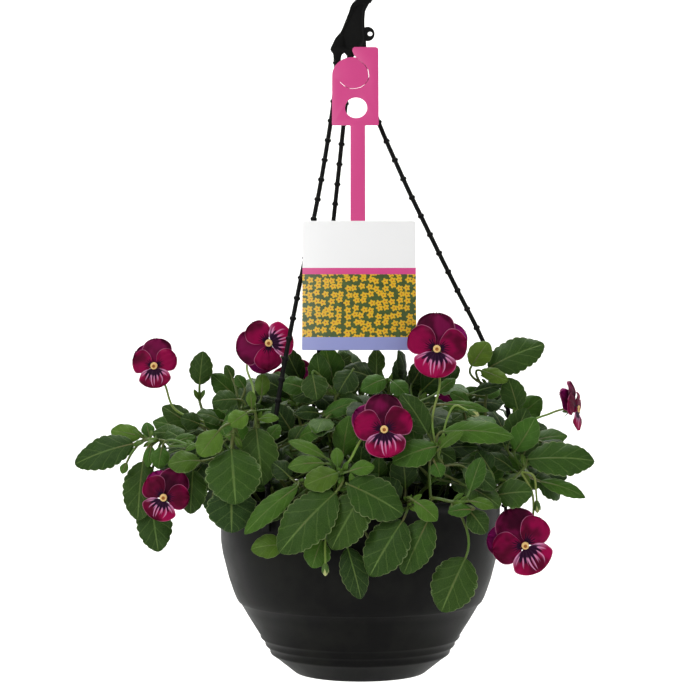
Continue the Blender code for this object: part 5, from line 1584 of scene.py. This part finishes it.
PAPER = "f7f7f5"
FLOOR_DROP = 0.1
FLOOR_FRONT = -3.5
FLOOR_BACK = 2.0
FLOOR_HALF_WIDTH = 4.0
SWEEP_RADIUS = 0.9
SWEEP_STEPS = 16
BACKDROP_HEIGHT = 4.0
MIDDLE = (0, 0, -0.40)
PANELS = [("key_left_front", (-1.5, -2.0, 1.0), MIDDLE, 1.4, 32),
          ("fill_right_front", (1.7, -1.8, 0.3), MIDDLE, 1.6, 7.5),
          ("top_soft", (0.1, 0.2, 1.7), MIDDLE, 1.8, 13),
          ("backdrop_wash", (0.0, 1.4, 2.2), (0, 2.8, -0.4), 2.4, 110)]
SKY_STRENGTH = 0.28
LENS_MM = 95.6
CAMERA_PLACE = (-0.009, -1.66, -0.360)

floor_form = bmesh.new()
floor_low = POT_LOW.z - FLOOR_DROP
profile = [(FLOOR_FRONT, floor_low), (FLOOR_BACK, floor_low)]
for step in range(1, SWEEP_STEPS + 1):
    turn = math.radians(90 * step / SWEEP_STEPS)
    profile.append((FLOOR_BACK + SWEEP_RADIUS * math.sin(turn),
                    floor_low + SWEEP_RADIUS * (1 - math.cos(turn))))
profile.append((FLOOR_BACK + SWEEP_RADIUS, floor_low + BACKDROP_HEIGHT))
columns = [[floor_form.verts.new((side * FLOOR_HALF_WIDTH, y, z)) for y, z in profile]
           for side in (-1, 1)]
for index in range(len(profile) - 1):
    floor_form.faces.new((columns[0][index], columns[1][index], columns[1][index + 1],
                          columns[0][index + 1]))


def paper():
    """Matt white background paper, with a barely seen tooth that is coarser than the real one"""
    made, shader = finish_named("matt_background_paper")
    place = add(made, "TexCoord", {}).outputs["Object"]
    tooth = add(made, "TexNoise", {"Vector": place, "Scale": 300.0})
    bump = add(made, "Bump", {"Height": tooth, "Strength": 0.05, "Distance": 0.2 * MM})
    join(made, shader, {"Base Color": PAPER, "Roughness": 0.95, "Normal": bump})
    return made


floor_mesh = smooth_mesh(floor_form, "floor", 60)
floor_mesh.materials.append(paper())
floor = bpy.data.objects.new("studio_floor", floor_mesh)
bpy.context.scene.collection.objects.link(floor)


def panel(name, place, target, size, power):
    """Square soft light aimed at a point, with its power in watts"""
    data = bpy.data.lights.new(name, "AREA")
    data.energy = power
    data.size = size
    lamp = bpy.data.objects.new(name, data)
    lamp.location = place
    lamp.rotation_euler = (Vector(target) - Vector(place)).to_track_quat("-Z", "Y").to_euler()
    bpy.context.scene.collection.objects.link(lamp)


for name, place, target, size, power in PANELS:
    panel(name, place, target, size, power)
world = bpy.data.worlds.new("studio")
bpy.context.scene.world = world
world.use_nodes = True
sky = world.node_tree.nodes["Background"]
sky.inputs["Color"].default_value = linear("ffffff")
sky.inputs["Strength"].default_value = SKY_STRENGTH
camera_data = bpy.data.cameras.new("camera")
camera_data.lens = LENS_MM
camera = bpy.data.objects.new("camera", camera_data)
camera.location = CAMERA_PLACE
camera.rotation_euler = (math.radians(90), 0, 0)
bpy.context.scene.collection.objects.link(camera)
bpy.context.scene.camera = camera
bpy.context.scene.view_settings.view_transform = "Standard"
